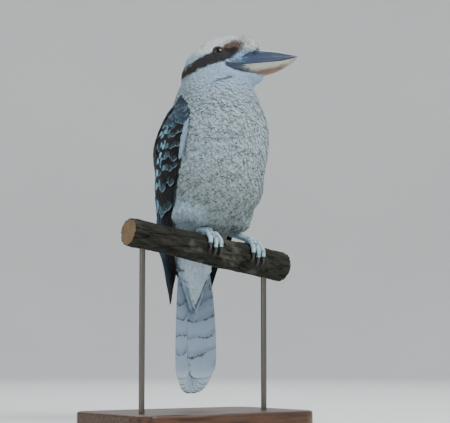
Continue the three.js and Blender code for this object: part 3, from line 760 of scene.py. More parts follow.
def lower_bill_tint(along, left, up, grain):
    edge = line_up(BILL_EDGE, along)
    share = np.clip((edge - up) / (edge - line_up(BILL_KEEL, along)), 0, 1)
    tint = mixed(LOWER_CREAM, LOWER_BROWN, ramp(share + 0.12 * grain, 0.42, 0.78) * ramp(along, 84, 66))
    tint = mixed(tint, LOWER_SLATE, ramp(along + 4 * grain - 6 * share, 38, 22))
    return mixed(tint, LOWER_SLATE, 0.35 * ramp(along, 76, 86))


def upper_bill_tint(along, left, up, grain):
    tint = mixed(UPPER_PALE, UPPER_DARK, ramp(ramp(up, -8.5, -5.5) + 0.2 * grain, 0.2, 0.9))
    tint = mixed(tint, UPPER_PALE, 0.5 * ramp(up + 1.5 * grain, 4, 8) * ramp(along, 70, 40))
    tint = mixed(tint, UPPER_TIP, 0.6 * ramp(along, 74, 88))
    streaks = wobble(from_head(along * 0.3, left, up), 1.1, 7.0)
    base = ramp(along + 3 * grain, 38, 22) * ramp(up, -6, -1)
    tint = mixed(tint, BILL_BASE, base * ramp(streaks, -0.5, 0.5))
    tint = mixed(tint, CUTTING_EDGE, 0.85 * ramp(up - line_up(BILL_EDGE, along) + 0.3 * grain, 1.5, 0.5))
    # Painted shade: the nostril's opening is painted near-black, for the shade inside the hole.
    hole = np.hypot((along - NOSTRIL["along"]) / NOSTRIL["long"], (up - NOSTRIL["up"]) / NOSTRIL["high"])
    return mixed(tint, NOSTRIL_DARK, ramp(hole, 1.15, 0.75))


def build_bill(name, node, tint_of):
    piece = remeshed(name, (node,), BILL_MESH["voxel"], BILL_MESH["smooth"])
    along, left, up = in_head(points_of(piece))
    grain = wobble(from_head(along * 0.25, left, up), 1.6, 2.0)
    paint(piece, tint_of(along, left, up, grain) * (1 + 0.08 * grain)[:, None])
    finish_piece(piece, horn_material(), (node,))


# Wings: the CAD wing's outer surface, smoothed, carries tiers of coverts and flight feathers

LEVEL_STEP = 3.0
ANGLE_STEP = 2.0
WING_LEVELS = np.arange(128.0, 353.0, LEVEL_STEP)
WING_ANGLES = np.arange(44.0, 190.0, ANGLE_STEP)
WING_INSET = 2.6


def smoothed(grid, passes):
    for _ in range(passes):
        wide = np.pad(grid, 1, mode="edge")
        grid = (wide[:-2, 1:-1] + wide[2:, 1:-1] + wide[1:-1, :-2] + wide[1:-1, 2:] + 2 * grid) / 6
    return grid


class WingCarrier:
    """Distance of the wing's outside from the trunk's axis, over height and angle, and its two edges."""

    def __init__(self, node, hand):
        self.node = node
        self.hand = hand
        reach = self.rays(tree_of(node))
        struck = ~np.isnan(reach)
        full = np.flatnonzero(struck.any(axis=1))
        nearest = [full[np.abs(full - i).argmin()] for i in range(len(reach))]
        reach, struck = reach[nearest], struck[nearest]
        self.front = self.even([WING_ANGLES[row.argmax()] for row in struck])
        self.back = self.even([WING_ANGLES[len(row) - 1 - row[::-1].argmax()] for row in struck])
        for row, known in zip(reach, struck):
            row[:] = np.interp(WING_ANGLES, WING_ANGLES[known], row[known])
        self.reach = smoothed(reach, 10)

    def rays(self, tree):
        """Distance at each height and angle, or nan where the wing isn't met."""
        far = 150.0
        reach = np.full((len(WING_LEVELS), len(WING_ANGLES)), np.nan)
        for i, z in enumerate(WING_LEVELS):
            for j, angle in enumerate(np.radians(WING_ANGLES)):
                out = Vector((self.hand * math.sin(angle), -math.cos(angle), 0))
                hit = tree.ray_cast(Vector((BIRD_X, float(axis_y(z)), z)) + out * far, -out, far)
                if hit[0] is not None:
                    reach[i, j] = far - hit[3]
        return reach

    @staticmethod
    def even(edge):
        """Mean of each five neighbours along an edge."""
        return np.convolve(np.pad(edge, 2, mode="edge"), np.ones(5) / 5, mode="valid")

    def place(self, z, share, height):
        """Point at a height z and a share of the wing's width from its front edge, out from the carrier."""
        angle = blend(np.interp(z, WING_LEVELS, self.front), np.interp(z, WING_LEVELS, self.back), share)
        rows = np.clip((z - WING_LEVELS[0]) / LEVEL_STEP, 0, len(WING_LEVELS) - 1.001)
        cols = np.clip((angle - WING_ANGLES[0]) / ANGLE_STEP, 0, len(WING_ANGLES) - 1.001)
        i, j = rows.astype(int), cols.astype(int)
        near = blend(self.reach[i, j], self.reach[i, j + 1], cols - j)
        far = blend(self.reach[i + 1, j], self.reach[i + 1, j + 1], cols - j)
        radius = blend(near, far, rows - i) - WING_INSET + height
        turn = np.radians(angle)
        x = BIRD_X + self.hand * radius * np.sin(turn)
        return np.stack([x, axis_y(z) - radius * np.cos(turn), z * np.ones_like(turn)], axis=-1)

    def lie(self, z, share):
        """Point, outward normal and direction towards the tip."""
        down = unit(self.place(z - 4, share, 0.0) - self.place(z + 4, share, 0.0))
        over = self.place(z, share + 0.03, 0.0) - self.place(z, share - 0.03, 0.0)
        return self.place(z, share, 0.0), unit(np.cross(down, over)) * self.hand, down


FLIGHT = {
    "rows": (0, 0.1, 0.22, 0.36, 0.5, 0.64, 0.76, 0.86, 0.94, 0.985, 1),
    "wide": (0.42, 0.62, 0.8, 0.9, 0.97, 1, 0.98, 0.9, 0.7, 0.4, 0.2),
    "columns": (-1, -0.92, -0.5, -0.08, 0, 0.08, 0.5, 0.92, 1),
    "camber": 0.12, "round": 0.15, "thick": 0.3, "shaft": 0.28, "ragged": 0.25,
}
COVERT = {
    "rows": (0, 0.22, 0.43, 0.62, 0.78, 0.9, 0.975, 1),
    "wide": (0.45, 0.8, 0.97, 1, 0.92, 0.72, 0.4, 0.22),
    "columns": (-1, -0.88, -0.42, 0, 0.42, 0.88, 1),
    "camber": 0.16, "round": 0.15, "thick": 0.25, "shaft": 0.12, "ragged": 0.35,
}

WING_DARK = srgb(21, 19, 21)
WING_BROWN = srgb(31, 27, 28)
SHOULDER = srgb(48, 60, 74)
SPOT_BLUE = srgb(142, 216, 236)
EDGE_BLUE = srgb(62, 112, 138)

# Tiers of the folded wing: height of the roots, how they fall to the back edge, share of the width that
# they span, number, length, width, heights of root and tip over the carrier, colour, pale spot, blue edge
TIERS = (
    ("marginal_a", 354, 3, (0.03, 0.6), 13, 14, 8.5, (-1.6, 2.2), SHOULDER, 0.1, 0.5),
    ("marginal_b", 347, 3, (0.02, 0.66), 13, 16, 9.5, (-1.6, 2.3), SHOULDER, 0.2, 0.5),
    ("lesser_a", 339, 4, (0.02, 0.7), 13, 18, 10.5, (-1.6, 2.4), SHOULDER, 0.4, 0.4),
    ("lesser_b", 330, 4, (0.03, 0.76), 13, 20, 11.0, (-1.7, 2.4), WING_BROWN, 0.6, 0.3),
    ("median_a", 320, 3, (0.02, 0.84), 14, 22, 11.5, (-1.8, 2.4), WING_BROWN, 0.9, 0.3),
    ("median_b", 310, 1, (0.03, 0.9), 14, 24, 12.0, (-1.9, 2.5), WING_DARK, 1.0, 0.3),
    ("median_c", 299, -2, (0.02, 0.93), 14, 27, 13.0, (-1.9, 2.5), WING_DARK, 1.0, 0.35),
    ("median_d", 287, -3, (0.03, 0.94), 13, 31, 14.0, (-1.9, 2.5), WING_DARK, 0.7, 0.4),
    ("greater", 274, -3, (0.03, 0.95), 12, 40, 15.0, (-2.0, 2.6), WING_DARK, 0.5, 0.6),
)


def tier_feathers(carrier, name, shape, roots, shares, lengths, wide, heights, tints, spots=0.0, edge=0.0):
    """Feathers that run down the wing from heights over the floor, each at its share of the wing's width."""
    count = len(roots)
    rows = np.array(shape["rows"])
    z = roots[:, None] - lengths[:, None] * rows[None]
    spine, normal, along = carrier.lie(z, np.repeat(shares[:, None], len(rows), axis=1))
    side = unit(np.cross(normal, along)) * carrier.hand
    widths = np.broadcast_to(wide, count)
    half = 0.5 * widths[:, None] * np.array(shape["wide"])[None]
    low, high = (np.broadcast_to(h, count)[:, None] for h in heights)
    height = blend(low, high, np.clip(rows / 0.6, 0, 1)[None] ** 0.8)
    piece, local, under, each = vanes(
        f"{carrier.node}_{name}", spine, normal, side, along, half, height, shape)
    marks = np.stack([np.zeros(count), spots * np.ones(count), np.zeros(count)], axis=1)
    size = np.stack([lengths, widths, RNG.random(count)], axis=1)
    blue = np.repeat(edge * ramp(shares, 0.25, 0.6), each)
    outer = ramp(local[:, 0], -0.5, -0.95) * ramp(local[:, 1], 0.05, 0.2) * blue
    tint = mixed(np.repeat(tints, each, axis=0), EDGE_BLUE, outer)
    dress(piece, local, tint, marks, size, sheet_places(count, local, under, each))
    finish_piece(piece, plumage_material(), (carrier.node,))


def shades(colour, low, high, count):
    return colour * RNG.uniform(low, high, count)[:, None]


def build_coverts(carrier):
    for name, top, fall, span, count, long, wide, (low, high), colour, spot, edge in TIERS:
        shares = blend(*span, (np.arange(count) + 0.5) / count)
        roots = top + fall * shares + RNG.normal(0, 2.2, count)
        lengths = long * RNG.uniform(0.88, 1.1, count)
        lift = RNG.uniform(-0.35, 0.35, count)
        tints = shades(colour, 0.8, 1.15, count)
        seen = RNG.uniform(0.6, 1.0, count) * (RNG.random(count) > 0.2)
        spots = spot * seen * ramp(shares, 0.15, 0.42) + 0.06
        heights = (low + lift, high + lift)
        tier_feathers(carrier, name, COVERT, roots, shares, lengths, wide, heights, tints, spots, edge)


def build_scapulars(carrier):
    """Brown feathers that hang over the wing's back edge from the shoulder."""
    count = 40
    shares = 0.56 + 0.42 * ((np.arange(count) * 0.382) % 1)
    heights = (-1.0, np.linspace(4.6, 3.2, count))
    tints = shades(MANTLE, 0.75, 1.2, count)
    tier_feathers(
        carrier, "scapulars", COVERT, np.linspace(354, 296, count), shares, np.linspace(20, 44, count),
        np.linspace(10, 17, count), heights, tints, spots=0.02, edge=0.15)


def build_flank(carrier):
    """Pale feathers that lap over the front edge."""
    count = 9
    tints = shades(CHEEK, 0.7, 1.0, count)
    tier_feathers(
        carrier, "flank", COVERT, np.linspace(330, 303, count), np.linspace(-0.02, -0.045, count),
        RNG.uniform(13, 17, count), 4.6, (0.0, 3.4 + 0.9 * (np.arange(count) % 2)), tints)


def build_secondaries(carrier):
    """Long feathers that lie over one another, the innermost outside."""
    count = 11
    index = np.arange(count)
    shares = blend(0.07, 0.93, (index + 0.5) / count)
    height = -0.4 + 0.36 * index
    tier_feathers(
        carrier, "secondaries", FLIGHT, 262 + 6 * shares, shares, 96 - 2.6 * index, 15.5,
        (height - 1.6, height), shades(WING_DARK, 0.85, 1.1, count), edge=0.9)


def build_primaries(carrier):
    """The longest feathers, which hang free below, beside the tail."""
    count, top = 7, 236.0
    index = np.arange(count)
    shares = blend(0.1, 0.6, index / (count - 1))
    lengths = top - (131.5 + 6.5 * np.abs(index - 3))
    height = -2.2 + 0.5 * index
    tier_feathers(
        carrier, "primaries", FLIGHT, np.full(count, top), shares, lengths, 14.5,
        (height, height), shades(WING_DARK, 0.8, 1.0, count), edge=0.35)


def build_wing(node, hand):
    carrier = WingCarrier(node, hand)
    for build in (build_coverts, build_scapulars, build_flank, build_secondaries, build_primaries):
        build(carrier)


# Tail: pairs of feathers, the middle pair longest and behind, each outer one shorter and nearer the front

TAIL = {
    "y": 27.0, "root": 192.0, "tip": 32.0, "inner": 2.2, "step": 3.0, "rear": 1.1, "layer": 0.3,
    "shorter": (0, 1, 2.5, 5.5, 10, 16),
    "widths": (21.0, 19.0, 18.0, 18.0, 20.0, 26.0),
    "inward": (0, 0, 0, 0.6, 1.8, 4.6),  # how much nearer the middle a wide feather lies
    "over": 8.0,  # how much wider the bird's left outer feather is, so that it laps over the middle
    "arch": 0.011,  # how far the tail bends forwards at its sides, by the square of the distance
}
TAIL_VANE = {
    "rows": (0, 0.1, 0.22, 0.36, 0.5, 0.64, 0.76, 0.86, 0.93, 0.975, 0.995, 1),
    "wide": (0.45, 0.6, 0.76, 0.88, 0.95, 1, 1, 1, 0.92, 0.74, 0.5, 0.42),
    "columns": (-1, -0.96, -0.7, -0.4, -0.08, 0, 0.08, 0.4, 0.7, 0.96, 1),
    "camber": 0.0, "round": 0.15, "thick": 0.15, "shaft": 0.06, "ragged": 0.25,
}
TAIL_UNDER = srgb(142, 162, 184)
TAIL_UPPER = srgb(116, 76, 52)
TAIL_TIP = srgb(172, 192, 206)


def tail_feather(pair, hand):
    """Place of the root, way down, way across, height over the tail's middle, length and width."""
    fan = math.radians(hand * (0.1 + 0.16 * pair))
    over = TAIL["over"] if (pair, hand) == (len(TAIL["widths"]) - 1, 1) else 0
    x = BIRD_X + hand * (TAIL["inner"] + TAIL["step"] * pair - TAIL["inward"][pair] - over / 2)
    layer = 2 * pair + (hand > 0) if pair < 2 else pair + 2 + 0.5 * (hand > 0)
    long = (TAIL["root"] - TAIL["tip"] - TAIL["shorter"][pair]) / math.cos(fan)
    down, across = (math.sin(fan), 0, -math.cos(fan)), (math.cos(fan), 0, math.sin(fan))
    height = TAIL["rear"] - TAIL["layer"] * layer
    return (x, TAIL["y"], TAIL["root"]), down, across, height, long, TAIL["widths"][pair] + over


def build_tail():
    rows = np.array(TAIL_VANE["rows"])
    feathers = [tail_feather(pair, hand) for pair in range(len(TAIL["widths"])) for hand in (-1, 1)]
    root, down, across, height, long, wide = (np.array(column) for column in zip(*feathers))
    count = len(feathers)
    every_row = np.ones((1, len(rows), 1))
    along, side = down[:, None] * every_row, across[:, None] * every_row
    spine = root[:, None] + along * (long[:, None] * rows)[..., None]
    half = 0.5 * wide[:, None] * np.array(TAIL_VANE["wide"])[None]
    piece, local, under, each = vanes(
        "tail_feathers", spine, np.array([0, 1.0, 0]) * np.ones_like(spine), side, along, half,
        height[:, None] * every_row[..., 0], TAIL_VANE)
    points = points_of(piece)
    points[:, 1] -= TAIL["arch"] * (points[:, 0] - BIRD_X) ** 2
    set_points(piece, points)

    rim = (np.abs(local[:, 0]) > 0.99) | (local[:, 1] > 0.99)
    tint = mixed(TAIL_UPPER, TAIL_UNDER, np.where(rim, 0.9, under))
    tint = mixed(tint, TAIL_TIP, ramp(local[:, 1], 0.9, 0.975))
    bars = np.where(~rim & (under < 0.5), 2.0, 1.0)
    marks = np.stack([np.zeros(len(local)), np.zeros(len(local)), bars], axis=1)
    size = np.stack([long, wide, RNG.random(count)], axis=1)
    dress(piece, local, tint, marks, size, sheet_places(count, local, under, each))
    finish_piece(piece, plumage_material(), ("tail",))


# Feet on the perch

def perch_line():
    """A point on the perch's axis, the axis' direction, and the perch's radius."""
    points = np.array([v.co for v in cad_mesh("perch").vertices]) / MM
    middle = points.mean(0)
    way = np.linalg.svd(points - middle, full_matrices=False)[2][0]
    way = way * np.sign(way[0])
    off = (points - middle) - np.outer((points - middle) @ way, way)
    return middle, way, float(np.percentile(np.linalg.norm(off, axis=1), 60))


PERCH_MIDDLE, PERCH_WAY, PERCH_RADIUS = perch_line()
PERCH_BACK = np.array([0, 1.0, 0])
PERCH_UP = np.cross(PERCH_WAY, PERCH_BACK)
PERCH_TREE = tree_of("perch")


def on_axis(x):
    """Point of the perch's axis at each x."""
    return PERCH_MIDDLE + PERCH_WAY * ((np.asarray(x) - PERCH_MIDDLE[0]) / PERCH_WAY[0])[..., None]


def off_axis(angle):
    """Direction away from the perch's axis at each angle up from straight behind."""
    return PERCH_BACK * np.cos(angle)[..., None] + PERCH_UP * np.sin(angle)[..., None]


def perch_reach(x, angle):
    """Radius of the CAD perch at x and an angle."""
    far, out = 60, off_axis(angle)
    hit = PERCH_TREE.ray_cast(Vector(on_axis(x) + out * far), Vector(-out), 80)
    return far - hit[3] if hit[0] is not None else PERCH_RADIUS


def round_perch(x, degrees, height):
    """Point at a height over the perch."""
    angle = math.radians(degrees)
    return on_axis(x) + off_axis(angle) * (perch_reach(x, angle) + height)


def tube(path, radius, rows, around, flat=None):
    """Grid of points round a smooth line through the path. radius(share, angle) gives their distances."""
    path = np.array(path)
    share = np.linspace(0, 1, rows)
    knots = np.linspace(0, 1, len(path))
    line = np.stack([np.interp(share, knots, path[:, k]) for k in range(3)], axis=1)
    for _ in range(rows // len(path)):
        line[1:-1] = (line[:-2] + 2 * line[1:-1] + line[2:]) / 4
    along = unit(np.gradient(line, axis=0))
    side = unit(np.cross(along, PERCH_WAY if flat is None else flat))
    other = np.cross(along, side)
    angle = np.linspace(0, FULL_TURN, around, endpoint=False)
    ring = np.cos(angle)[None, :, None] * side[:, None] + np.sin(angle)[None, :, None] * other[:, None]
    size = np.broadcast_to(radius(share[:, None], angle[None]), (rows, around))
    return line[:, None] + ring * size[..., None]


def joined(name, grids):
    """One object from several tubes of points, each closed with a cap at both ends."""
    bm = bmesh.new()
    for grid in grids:
        rows, around = grid.shape[:2]
        verts = [[bm.verts.new(p * MM) for p in ring] for ring in grid]
        for r in range(rows - 1):
            for i in range(around):
                n = (i + 1) % around
                bm.faces.new((verts[r][i], verts[r + 1][i], verts[r + 1][n], verts[r][n]))
        bm.faces.new(verts[0])
        bm.faces.new(verts[-1])
    bmesh.ops.recalc_face_normals(bm, faces=bm.faces)
    mesh = bpy.data.meshes.new(name)
    for face in bm.faces:
        face.smooth = True
    bm.to_mesh(mesh)
    bm.free()
    return in_scene(name, mesh)


FEET = {
    "right": {"toes": -16.0, "heel": (-22.0, 2.0, 217.5)},
    "left": {"toes": 41.0, "heel": (37.0, 2.0, 212.5)},
}
TOES = {
    "radii": (3.0, 2.75, 2.6, 2.65, 2.0), "gap": 6.0, "lift": 0.45, "pad": 4.3, "scutes": 15,
    "bend": (88, 108, 130, 152, 174), "spread": (0.5, 0.9, 1, 1.08, 1.15), "reach": (0.92, 1.06, 1.0),
    "rear_bend": (92, 68, 46, 26), "rear_aside": (0, -0.5, -1, -1), "rear_scutes": 11,
}
SHANK = {"radii": (3.6, 4.3, 3.6, 3.9), "scutes": 9, "above": 0.3}
PAD = {"along": (-4.6, -2, 2, 4.6), "radius": 4.1}
NAIL = {"heights": (2.4, 3.2, 1.2), "spread": (1.15, 1.17, 1.2), "thick": 1.75, "tip": 0.12}
FOOT_PALE = srgb(176, 206, 217)
FOOT_DARK = srgb(118, 144, 155)
CLAW = srgb(40, 38, 38)


def scaled(sizes, scutes):
    """Radius of a toe or shank: sizes along it, round ends, knuckles and scutes that overlap on top."""
    knots = np.linspace(0, 1, len(sizes))

    def radius(share, angle):
        base = np.interp(share, knots, sizes)
        ends = np.sqrt(np.clip(np.minimum(share, 1 - share) / 0.05, 0.02, 1))
        saw = share * scutes % 1
        over = ramp(np.cos(angle), -0.2, 0.6)
        knuckle = 0.07 * np.cos(share * 3 * FULL_TURN)
        under = 0.05 * np.sin(angle * 5 + share * 90) * (1 - over)
        return base * ends * (1 + knuckle + over * (0.09 * saw - 0.05) + under)

    return radius


def pad_radius(share, angle):
    return PAD["radius"] * np.sqrt(np.clip(1 - (2 * share - 1) ** 2, 0.02, 1))


def nail_radius(share, angle):
    return NAIL["thick"] * (1 - share) ** 0.7 + NAIL["tip"]


def build_foot(name, spec):
    centre = spec["toes"] + BIRD_X
    heel = np.array(spec["heel"]) + (BIRD_X, 0, 0)
    ankle = round_perch(centre, 90, TOES["pad"] + TOES["lift"])
    radii = TOES["radii"]
    outs = [r + TOES["lift"] for r in radii]

    def arc(across, angles, heights):
        return [round_perch(centre + x, a, h) for x, a, h in zip(across, angles, heights)]

    parts, claws = [], []
    for i, reach in enumerate(TOES["reach"]):
        aside = (i - 1) * TOES["gap"]
        start = TOES["bend"][0]
        bend = [start + (a - start) * reach for a in TOES["bend"]]
        path = arc([aside * k for k in TOES["spread"]], bend, outs)
        parts.append(tube(path, scaled(radii, TOES["scutes"]), 60, 18))
        nail = [aside * k for k in NAIL["spread"]]
        claws.append(arc(nail, [bend[-1] - 4, bend[-1] + 14, bend[-1] + 31], NAIL["heights"]))
    rear = arc(TOES["rear_aside"], TOES["rear_bend"], outs[1:])
    parts.append(tube(rear, scaled(radii[1:], TOES["rear_scutes"]), 50, 18))
    claws.append(arc((-1, -1, -1), (30, 12, -6), NAIL["heights"]))

    shank = [heel + (heel - ankle) * SHANK["above"], heel, (heel + ankle) / 2, ankle]
    parts.append(tube(shank, scaled(SHANK["radii"], SHANK["scutes"]), 50, 22, np.array([1.0, 0, 0])))
    parts.append(tube([ankle + PERCH_WAY * k for k in PAD["along"]], pad_radius, 20, 18, PERCH_UP))
    skin = joined("foot_skin_" + name, parts)
    paint(skin, mixed(FOOT_PALE, FOOT_DARK, ramp(wobble(points_of(skin), 4.0, 6.0), 0.0, 0.9)))
    finish_piece(skin, scale_material(), ("leg_" + name, "foot_" + name))

    nails = joined("claws_" + name, [tube(path, nail_radius, 26, 12) for path in claws])
    paint(nails, CLAW)
    finish_piece(nails, horn_material(), ("foot_" + name,))


# Perch: bark with furrows over the CAD's branch, sawn ends

# BARK_DARK goes into the furrows and cracks as painted shade, BARK_PALE onto the ridges.
BARK_DARK = srgb(20, 20, 18)
BARK_PALE = srgb(56, 57, 50)
LICHEN = srgb(118, 116, 106)
SAWN = srgb(138, 116, 90)
SAWN_RING = srgb(104, 82, 60)
PERCH = {"inset": 3, "rows": 330, "around": 132, "ray_rows": 45, "ray_turns": 48}


def bark_relief(x, turn):
    """Height of the bark over the CAD perch: long ridges, small ones and cracks, held low under the feet."""
    long = np.stack([x / 26, np.cos(turn) * 2.6, np.sin(turn) * 2.6], axis=-1)
    short = np.stack([x / 7, np.cos(turn) * 6, np.sin(turn) * 6], axis=-1)
    ridge = 1 - np.abs(wobble(long, 1.0, 1.0)) * 1.7
    detail = 1 - np.abs(wobble(short, 1.0, 4.0)) * 1.5
    crack = ramp(np.abs(wobble(long * (0.6, 1.3, 1.3), 1.0, 9.0)), 0.16, 0.0)
    relief = 0.75 * ridge + 0.4 * detail - 1.5 * crack - 0.7
    near = np.max([ramp(np.abs(x - spec["toes"] - BIRD_X), 17, 9) for spec in FEET.values()], axis=0)
    return np.where(near > 0, np.minimum(relief, blend(relief, -0.1, near)), relief)


def perch_radii(places, angles):
    """Radius of the CAD perch at many places and angles, between the hits of fewer rays."""
    ray_places = np.linspace(places[0], places[-1], PERCH["ray_rows"])
    ray_turns = np.linspace(0, FULL_TURN, PERCH["ray_turns"], endpoint=False)
    reach = np.array([[perch_reach(x, a) for a in ray_turns] for x in ray_places])
    reach = np.array([np.interp(angles, ray_turns, row, period=FULL_TURN) for row in reach])
    return np.array([np.interp(places, ray_places, column) for column in reach.T]).T


def build_perch():
    low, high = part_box("perch")
    places = np.linspace(low.x / MM + PERCH["inset"], high.x / MM - PERCH["inset"], PERCH["rows"])
    angles = np.linspace(0, FULL_TURN, PERCH["around"], endpoint=False)
    x, turn = np.meshgrid(places, angles, indexing="ij")
    relief = bark_relief(x, turn)
    middle = on_axis(x)
    grid = middle + off_axis(turn) * (perch_radii(places, angles) + relief)[..., None]
    shares = np.append(np.linspace(0.06, 0.88, 18), (0.92, 0.97))
    sawn = len(shares)
    near_end = blend(middle[0], grid[0], shares[:, None, None])
    far_end = blend(middle[-1], grid[-1], shares[::-1, None, None])
    whole = np.concatenate([near_end, grid, far_end])
    piece = make_mesh("perch_bark", whole.reshape(-1, 3), closed_grid(len(whole), len(angles)))
    cap_ends(piece, len(whole), len(angles))

    pad = ((sawn, sawn), (0, 0))
    # Painted shade: the bark is darker down in its furrows and cracks and paler up on its ridges.
    bark = mixed(BARK_DARK, BARK_PALE, 0.8 * np.pad(ramp(relief, -1.6, 0.7), pad))
    rings = (np.arange(sawn) % 2)[:, None] * (0.75 + 0.25 * np.cos(3 * angles))
    wood = mixed(SAWN, SAWN_RING, np.concatenate([rings, np.zeros_like(relief), rings[::-1]]))
    cut = np.ones(whole.shape[:2])
    cut[sawn - 1:1 - sawn] = 0
    paint(piece, mixed(bark, wood, cut).reshape(-1, 3))
    store(piece, "cut", cut, "FLOAT", "value")
    finish_piece(piece, bark_material(), ("perch",))


# Materials

BLACK = (0.0, 0.0, 0.0)


class Value:
    """Output of a shader node. Sums, differences, products and quotients with it make Math nodes."""

    def __init__(self, shader, socket):
        self.shader = shader
        self.socket = socket

    def __add__(self, other):
        return self.shader.math("ADD", self, other)

    def __sub__(self, other):
        return self.shader.math("SUBTRACT", self, other)

    def __rsub__(self, other):
        return self.shader.math("SUBTRACT", other, self)

    def __mul__(self, other):
        return self.shader.math("MULTIPLY", self, other)

    def __truediv__(self, other):
        return self.shader.math("DIVIDE", self, other)


class Shader:
    """A material whose nodes are made by short calls."""

    made = {}

    def __init__(self, name, roughness, sheen=0.0, specular=0.5, metallic=0.0, coat=0.0):
        self.material = bpy.data.materials.new(name)
        self.material.use_nodes = True
        self.tree = self.material.node_tree
        self.surface = self.tree.nodes["Principled BSDF"]
        self.surface.inputs["Roughness"].default_value = roughness
        self.surface.inputs["Specular IOR Level"].default_value = specular
        self.surface.inputs["Metallic"].default_value = metallic
        self.surface.inputs["Coat Weight"].default_value = coat
        self.surface.inputs["Sheen Weight"].default_value = sheen
        Shader.made[name] = self.material

    def node(self, kind, sockets, output=0, **settings):
        """Output of a new node with those settings, its sockets linked to values or set."""
        made = self.tree.nodes.new(kind)
        for key, value in settings.items():
            setattr(made, key, value)
        for key, value in sockets.items():
            if isinstance(value, Value):
                self.tree.links.new(value.socket, made.inputs[key])
            else:
                made.inputs[key].default_value = value
        return Value(self, made.outputs[output])

    def math(self, operation, a, b=0.0):
        return self.node("ShaderNodeMath", {0: a, 1: b}, operation=operation)

    def attribute(self, name, output="Color"):
        return self.node("ShaderNodeAttribute", {}, output, attribute_name=name)

    def split(self, vector):
        first = self.node("ShaderNodeSeparateXYZ", {0: vector})
        return [Value(self, socket) for socket in first.socket.node.outputs]

    def pulse(self, value, low, high):
        """Smooth step from 0 at low to 1 at high. low may be above high."""
        start, end = (0, 1) if low < high else (1, 0)
        sockets = {
            "Value": value, "From Min": min(low, high), "From Max": max(low, high),
            "To Min": start, "To Max": end,
        }
        return self.node("ShaderNodeMapRange", sockets, "Result", interpolation_type="SMOOTHSTEP", clamp=True)

    def mix(self, a, b, factor):
        """Colour a where the factor is 0, colour b where it is 1."""
        a, b = (c if isinstance(c, Value) else (*c, 1) for c in (a, b))
        return self.node("ShaderNodeMix", {0: factor, 6: a, 7: b}, 2, data_type="RGBA")

    def noise(self, vector, scale, detail):
        return self.node("ShaderNodeTexNoise", {"Vector": vector, "Scale": scale, "Detail": detail})

    def place(self):
        return self.node("ShaderNodeTexCoord", {}, "Object")

    def bump(self, height, strength, distance):
        made = self.node("ShaderNodeBump", {"Height": height, "Strength": strength, "Distance": distance})
        self.tree.links.new(made.socket, self.surface.inputs["Normal"])

    def colour(self, value):
        self.tree.links.new(value.socket, self.surface.inputs["Base Color"])
        return self.material


def once(build):
    """Each material is made the first time it is asked for."""
    def ready():
        return Shader.made.get(build.__name__) or build(build.__name__)
    return ready


CRESCENT = srgb(44, 42, 42)
FRINGE = srgb(132, 148, 158)
BAR = srgb(46, 42, 46)
BAR_GAP = 19.0


def crescents(shader, vane):
    """Thin dark crescents near the tips of some feathers."""
    line = shader.pulse(vane.level, 0.8, 0.86) * shader.pulse(vane.level, 0.99, 0.95)
    second = shader.pulse(vane.level, 0.6, 0.63) * shader.pulse(vane.level, 0.7, 0.66)
    line = shader.math("MAXIMUM", line, second * 0.6)
    broken = shader.pulse(shader.noise(vane.place, 130.0, 2.0), 0.38, 0.52)
    marked = shader.pulse(vane.chance, 0.2, 0.5)
    middle = shader.pulse(vane.edge, 1.0, 0.6)
    return line * vane.scales * broken * marked * middle


def wing_spot(shader, vane):
    """A round spot near the tip, aside by chance."""
    aside = (vane.across + vane.chance * 0.36 - 0.54) / 0.3
    ahead = (vane.down - 0.86) / 0.16
    far = shader.math("SQRT", aside * aside + ahead * ahead)
    return shader.pulse(far + vane.jitter * 4.0, 1.1, 0.65) * vane.spots


def tail_bars(shader, vane):
    """Thin broken bars with a soft shade above them on the underside, broad bars on the upper side."""
    slant = (vane.across - 0.5) * (vane.chance - 0.5)
    run = vane.down * vane.length / BAR_GAP + vane.arc * 1.1 + vane.chance + slant * 1.3
    run = run + shader.noise(vane.place, 38.0, 1.0) * 0.95 + vane.jitter * 2.2
    run = shader.math("FRACT", run)
    clear = shader.pulse(vane.down, 0.2, 0.3) * shader.pulse(vane.down, 0.93, 0.88)
    torn = shader.pulse(shader.noise(vane.place, 85.0, 2.0), 0.4, 0.52)
    thin = shader.pulse(run, 0.44, 0.48) * shader.pulse(run, 0.56, 0.52) * torn
    shade = shader.pulse(run, 0.1, 0.48) * shader.pulse(run, 0.56, 0.5) * 0.35
    thin = shader.math("MAXIMUM", thin, shade) * shader.pulse(vane.bars, 0.0, 1.0) * clear
    broad = shader.pulse(run, 0.26, 0.32) * shader.pulse(run, 0.72, 0.66)
    broad = broad * shader.pulse(vane.bars, 1.2, 1.8) * clear
    return shader.math("MAXIMUM", thin * 0.85, broad * 0.9)


